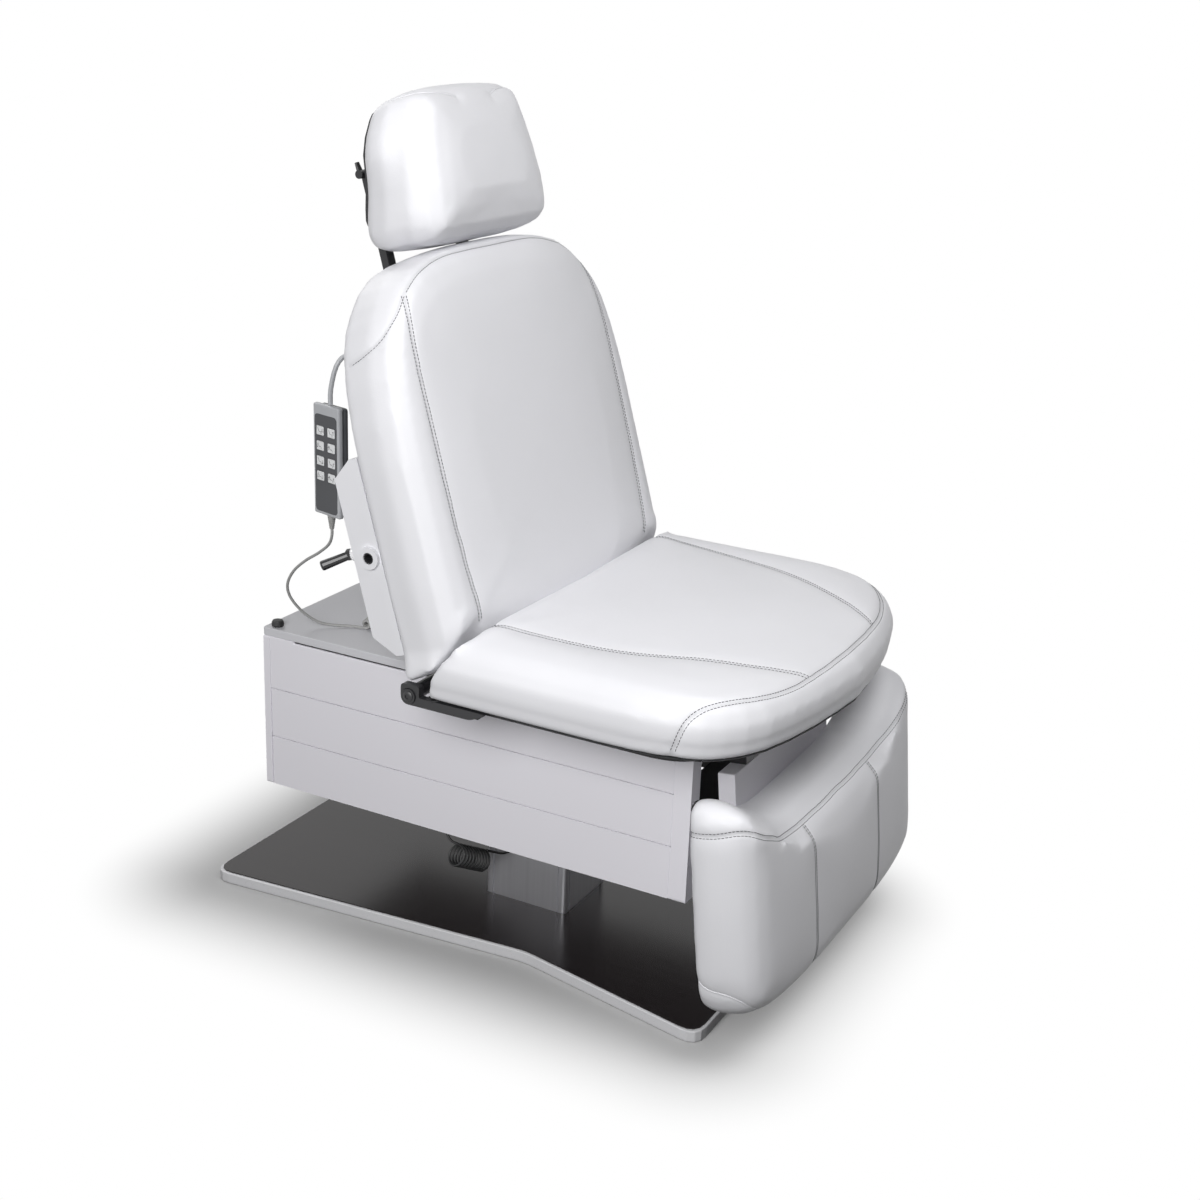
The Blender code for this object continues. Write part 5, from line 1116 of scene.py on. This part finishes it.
def round_corners(low, high, corner, steps=5):
    """Points of a rectangle with round corners, from its low and high corner."""
    points = []
    for turn, (x, y) in enumerate(((high[0], high[1]), (low[0], high[1]), (low[0], low[1]), (high[0], low[1]))):
        middle = (x - math.copysign(corner, x - low[0] - TINY), y - math.copysign(corner, y - low[1] - TINY))
        for k in range(steps + 1):
            angle = (turn + k / steps) * math.pi / 2
            points.append((middle[0] + corner * math.cos(angle), middle[1] + corner * math.sin(angle)))
    return points


def flat_plate(name, loops, thick, place, finish, carrier):
    """A plate with the first loop as its edge and the others as windows."""
    curve = bpy.data.curves.new(name, "CURVE")
    curve.dimensions = "2D"
    curve.fill_mode = "BOTH"
    curve.extrude = thick / 2
    for loop in loops:
        spline = curve.splines.new("POLY")
        spline.points.add(len(loop) - 1)
        spline.points.foreach_set("co", [c for x, y in loop for c in (x, y, 0, 1)])
        spline.use_cyclic_u = True
    drawn = bpy.data.objects.new(name, curve)
    bpy.context.scene.collection.objects.link(drawn)
    bpy.context.view_layer.update()
    mesh = bpy.data.meshes.new_from_object(drawn.evaluated_get(bpy.context.evaluated_depsgraph_get()))
    bpy.data.objects.remove(drawn)
    vertices = [place @ v.co for v in mesh.vertices]
    faces = [p.vertices[:] for p in mesh.polygons]
    return piece(name, vertices, faces, finish, carrier, smooth=False)


def key_box(name):
    """Low and high corner of a key on the face of the hand control."""
    corners = [HAND_FRAME.inverted() @ v.co for v in NODES[name].data.vertices]
    ys, zs = [c.y for c in corners], [c.z for c in corners]
    return (min(ys), min(zs)), (max(ys), max(zs)), min(c.x for c in corners)


windows = []
for name in KEYS:
    low, high, front = key_box(name)
    windows.append(round_corners([c - WINDOW_GAP for c in low], [c + WINDOW_GAP for c in high], WINDOW_CORNER))
film_edge = round_corners((-FILM_HALF, FILM_LOW), (FILM_HALF, FILM_HIGH), FILM_CORNER)
flat_plate("keypad_film", [film_edge, *windows], FILM_THICK, HAND_FACE, KEYPAD, "handset_front_shell")
print("film windows", len(windows))

# %% [markdown]
# Behind the front frame hangs a thin black sheet with a notch for the electric cylinder of the leg rest, as painted
# shade inside the open front.
# It hides the floor behind the leg rest, which would otherwise shine through the frame.

# %% Black sheet of painted shade behind the front frame
CURTAIN_HALF, CURTAIN_LOW, CURTAIN_HIGH = 0.2060, 0.1945, 0.3565
CURTAIN_Y, CURTAIN_THICK = -0.3184, 0.0012
NOTCH_HALF, NOTCH_LOW = 0.024, 0.307
WING_HALF, WING_HIGH = 0.176, 0.4040
right_edge = [(CURTAIN_HALF, CURTAIN_LOW), (CURTAIN_HALF, WING_HIGH), (WING_HALF, WING_HIGH), (WING_HALF, CURTAIN_HIGH),
              (NOTCH_HALF, CURTAIN_HIGH), (NOTCH_HALF, NOTCH_LOW)]
curtain_edge = right_edge + [(-x, z) for x, z in reversed(right_edge)]
UPRIGHT = Matrix(((1, 0, 0, 0), (0, 0, -1, CURTAIN_Y), (0, 1, 0, 0), (0, 0, 0, 1)))
# This black sheet is painted shade: the inside behind the frame is dark only from shade.
flat_plate("front_painted_shade_sheet", [curtain_edge], CURTAIN_THICK, UPRIGHT, LINING, "chassis_frame")
print("curtain hung at", CURTAIN_Y)

# %% [markdown]
# Each key carries a small plain sign: the outline of the chair, with an arrow at the part that moves.
# The strokes are thin rods let into the key, so they ride with the key and move when it is pressed.

# %% Signs on the keys
STROKE, SIGN_SUNK = 0.00045, 0.00022
ARROW_HALF, BARB_WIDE, BARB_TALL = 0.0026, 0.0013, 0.0014
CHAIR_SIGN = [(-0.0044, 0.0042), (-0.0016, -0.0016), (0.0018, -0.0012), (0.0034, -0.0044)]
ARROWS_AT = {"lift": [(0.0050, 0.0008)], "back": [(-0.0050, -0.0002)], "leg": [(0.0054, -0.0008)],
             "both": [(-0.0050, -0.0002), (0.0054, -0.0008)]}


def arrow(at, way):
    """Shaft and head of an arrow that points up where way is 1 and down where it is -1."""
    x, y = at
    tip = y + ARROW_HALF * way
    barb = tip - BARB_TALL * way
    return [[(x, y - ARROW_HALF * way), (x, tip)], [(x - BARB_WIDE, barb), (x, tip), (x + BARB_WIDE, barb)]]


for name in KEYS:
    what, way = name.split("_")[1:]
    low, high, front = key_box(name)
    middle = ((low[0] + high[0]) / 2, (low[1] + high[1]) / 2)
    strokes = [CHAIR_SIGN]
    for at in ARROWS_AT[what]:
        strokes += arrow(at, 1 if way == "up" else -1)
    vertices, faces = [], []
    for stroke in strokes:
        line = [HAND_FRAME @ Vector((front + SIGN_SUNK, middle[0] - x, middle[1] + y)) for x, y in stroke]
        v, f = tube_mesh(line, STROKE, THREAD_SIDES)
        faces += [[k + len(vertices) for k in loop] for loop in f]
        vertices += v
    piece(f"{name}_sign", vertices, faces, ICON_INK, name)
print("signs on", len(KEYS), "keys")

# %% [markdown]
# A black welt closes the seat along its lower edge, where it is also painted shade of the gap under that edge, and the
# leg rest along its two upright rear edges.
# There the leather is pulled round the board.
# The welt follows the end ring of the CAD pad, moved out to where the leather turns under.
# The leg board has a thin dark joint below its top edging strip.

# %% Black welts and the joint of the leg board
LEG_EDGE_X = 0.27
SEAT_WELT_SHADE, SEAT_WELT_SHADE_OUT, SEAT_WELT_SHADE_SHIFT = 0.0014, 0.0068, (0, 0, -0.0002)
LEG_WELT, LEG_WELT_OUT, LEG_WELT_SHIFT = 0.0017, -0.0030, (0, 0.0004, 0)
BOARD_JOINT, BOARD_JOINT_SHIFT = 0.0008, (0, 0, -0.0060)


def ring_of(node, frame, axis, end, reach=0.0006):
    """The ring of points of a node that lies at one end of an axis of a frame, in order round its middle."""
    points = np.array([frame.inverted() @ v.co for v in NODES[node].data.vertices])
    level = points[:, axis] * end
    points = points[level > level.max() - reach]
    a, b = [k for k in range(3) if k != axis]
    middle = (points.max(0) + points.min(0)) / 2
    order = np.argsort(np.arctan2(points[:, b] - middle[b], points[:, a] - middle[a]))
    return points[order], (a, b)


def grown(ring, axes, by):
    """The ring moved out by a distance in its own plane."""
    a, b = axes
    way = np.roll(ring, -1, 0) - np.roll(ring, 1, 0)
    out = np.zeros_like(ring)
    out[:, a], out[:, b] = way[:, b], -way[:, a]
    return ring + by * out / np.maximum(np.linalg.norm(out, axis=1, keepdims=True), TINY)


def welt(name, ring, frame, shift, radius, finish, carrier, closed=True):
    """A cord along a ring, or a part of one, shifted by a vector in the frame."""
    line = [frame @ (Vector(p) + Vector(shift)) for p in ring]
    return piece(name, *tube_mesh(line + line[:1] if closed else line, radius, PIPE_SIDES), finish, carrier)


# The seat's black welt is partly a welt and partly painted shade of the gap under the seat's edge.
seat_ring, axes = ring_of("seat_cushion", ROW_FRAME, 2, -1)
welt("seat_welt_and_gap_shade", grown(seat_ring, axes, SEAT_WELT_SHADE_OUT), ROW_FRAME, SEAT_WELT_SHADE_SHIFT, SEAT_WELT_SHADE, LINING, "seat_cushion")
leg_ring, axes = ring_of("leg_cushion", LEG_FRAME, 1, 1)
leg_ring = grown(leg_ring, axes, LEG_WELT_OUT)
for side_name, side in SIDES:
    edge = leg_ring[leg_ring[:, 0] * side > LEG_EDGE_X]
    edge = edge[np.argsort(edge[:, 2])]
    welt(f"leg_welt_{side_name}", edge, LEG_FRAME, LEG_WELT_SHIFT, LEG_WELT, LINING, "leg_cushion", closed=False)
board_ring, axes = ring_of("leg_board", LEG_FRAME, 2, 1)
welt("leg_board_joint", board_ring, LEG_FRAME, BOARD_JOINT_SHIFT, BOARD_JOINT, LINING, "leg_board")
print("welts with", len(seat_ring), len(leg_ring), len(board_ring), "points")

# %% [markdown]
# The studio has a pale floor with the chair's soft shadow.
# Beside the plate the floor is grey and shows the chair's shadow, and the grey itself is a painted shadow halo that
# follows the plate's outline and turns to plain white within a forearm's length of it.
# It throws little light back up, so that the underside stays dark.

# %% Floor
FLOOR_HALF, FLOOR_Z = 14.0, -0.0004
PLATE_MIDDLE, PLATE_HALF = (0.0, 0.0445, 0.0), (0.225, 0.41, 1.0)
WHITE_FROM, WHITE_TO = 0.0, 0.26
FLOOR_SEEN, FLOOR_BOUNCE, FLOOR_ROUGH = 0.62, 0.03, 0.9

corners = [(x * FLOOR_HALF, y * FLOOR_HALF, FLOOR_Z) for x, y in ((-1, -1), (1, -1), (1, 1), (-1, 1))]
floor = piece("studio_floor", corners, [[0, 1, 2, 3]], PANEL, smooth=False)
floor_finish, tree, bsdf = tree_of("floor_with_painted_shadow_halo")
rays = add(tree, "ShaderNodeLightPath")
pale = add(tree, "ShaderNodeMapRange", Value=rays.outputs["Is Camera Ray"], To_Min=FLOOR_BOUNCE, To_Max=FLOOR_SEEN)
tree.links.new(pale.outputs["Result"], bsdf.inputs["Base Color"])
bsdf.inputs["Roughness"].default_value = FLOOR_ROUGH
bsdf.inputs["Specular IOR Level"].default_value = 0.0
reach = add(tree, "ShaderNodeTexCoord").outputs["Object"]
for step, by in (("SUBTRACT", PLATE_MIDDLE), ("ABSOLUTE", None), ("SUBTRACT", PLATE_HALF), ("MAXIMUM", (0, 0, 0))):
    node = add(tree, "ShaderNodeVectorMath", operation=step)
    tree.links.new(reach, node.inputs[0])
    if by:
        node.inputs[1].default_value = by
    reach = node.outputs["Vector"]
beside = add(tree, "ShaderNodeVectorMath", operation="LENGTH")
tree.links.new(reach, beside.inputs[0])
# The grey near the plate, fading to white with distance from it, is a painted shadow halo.
away = add(tree, "ShaderNodeMapRange", interpolation_type="SMOOTHSTEP", Value=beside.outputs["Value"],
           From_Min=WHITE_FROM, From_Max=WHITE_TO)
seen = add(tree, "ShaderNodeMath", operation="MAXIMUM")
tree.links.new(rays.outputs["Is Camera Ray"], seen.inputs[0])
tree.links.new(rays.outputs["Is Glossy Ray"], seen.inputs[1])
white = add(tree, "ShaderNodeMapRange", Value=seen.outputs["Value"], To_Min=FLOOR_BOUNCE, To_Max=1.0)
glow = add(tree, "ShaderNodeEmission", Color=(1, 1, 1, 1), Strength=white.outputs["Result"])
blend_in = add(tree, "ShaderNodeMixShader", Fac=away.outputs["Result"])
tree.links.new(bsdf.outputs["BSDF"], blend_in.inputs[1])
tree.links.new(glow.outputs["Emission"], blend_in.inputs[2])
tree.links.new(blend_in.outputs["Shader"], tree.nodes["Material Output"].inputs["Surface"])
floor.data.materials[0] = floor_finish
print("floor", 2 * FLOOR_HALF, "metres wide")

# %% [markdown]
# The world is white, but only the camera and reflections see it at full strength.
# To everything else it is a faint glow that lifts the darkest corners.

# %% World
AMBIENT = 0.08
world = bpy.data.worlds.new("studio")
bpy.context.scene.world = world
world.use_nodes = True
tree = world.node_tree
rays = add(tree, "ShaderNodeLightPath")
seen = add(tree, "ShaderNodeMath", operation="MAXIMUM")
seen_too = add(tree, "ShaderNodeMath", operation="MAXIMUM")
tree.links.new(rays.outputs["Is Camera Ray"], seen.inputs[0])
tree.links.new(rays.outputs["Is Glossy Ray"], seen.inputs[1])
tree.links.new(seen.outputs["Value"], seen_too.inputs[0])
tree.links.new(rays.outputs["Is Transmission Ray"], seen_too.inputs[1])
strength = add(tree, "ShaderNodeMapRange", Value=seen_too.outputs["Value"], To_Min=AMBIENT, To_Max=1.0)
tree.nodes["Background"].inputs["Color"].default_value = (1, 1, 1, 1)
tree.links.new(strength.outputs["Result"], tree.nodes["Background"].inputs["Strength"])
print("world strength", AMBIENT)

# %% [markdown]
# Three large round lamps light the chair softly: one in front above it, one on the left of the picture and one behind.

# %% Lamps


def lamp(name, at, aim, size, watts):
    """A round soft lamp at a place, turned to what it aims at."""
    data = bpy.data.lights.new(name, "AREA")
    data.shape = "DISK"
    data.size = size
    data.energy = watts
    ob = bpy.data.objects.new(name, data)
    turn = (Vector(aim) - Vector(at)).to_track_quat("-Z", "Y")
    ob.matrix_world = Matrix.Translation(Vector(at)) @ turn.to_matrix().to_4x4()
    bpy.context.scene.collection.objects.link(ob)


lamp("softbox_front", at=(-0.3, -1.2, 2.3), aim=(0, -0.1, 0.6), size=1.2, watts=22)
lamp("softbox_left", at=(-2.3, -0.4, 1.55), aim=(0, 0, 0.5), size=1.6, watts=47)
lamp("softbox_rear", at=(0.8, 2.2, 2.4), aim=(0, 0.1, 0.5), size=1.2, watts=14)
bpy.context.scene.view_settings.view_transform = "Standard"
print("three lamps")
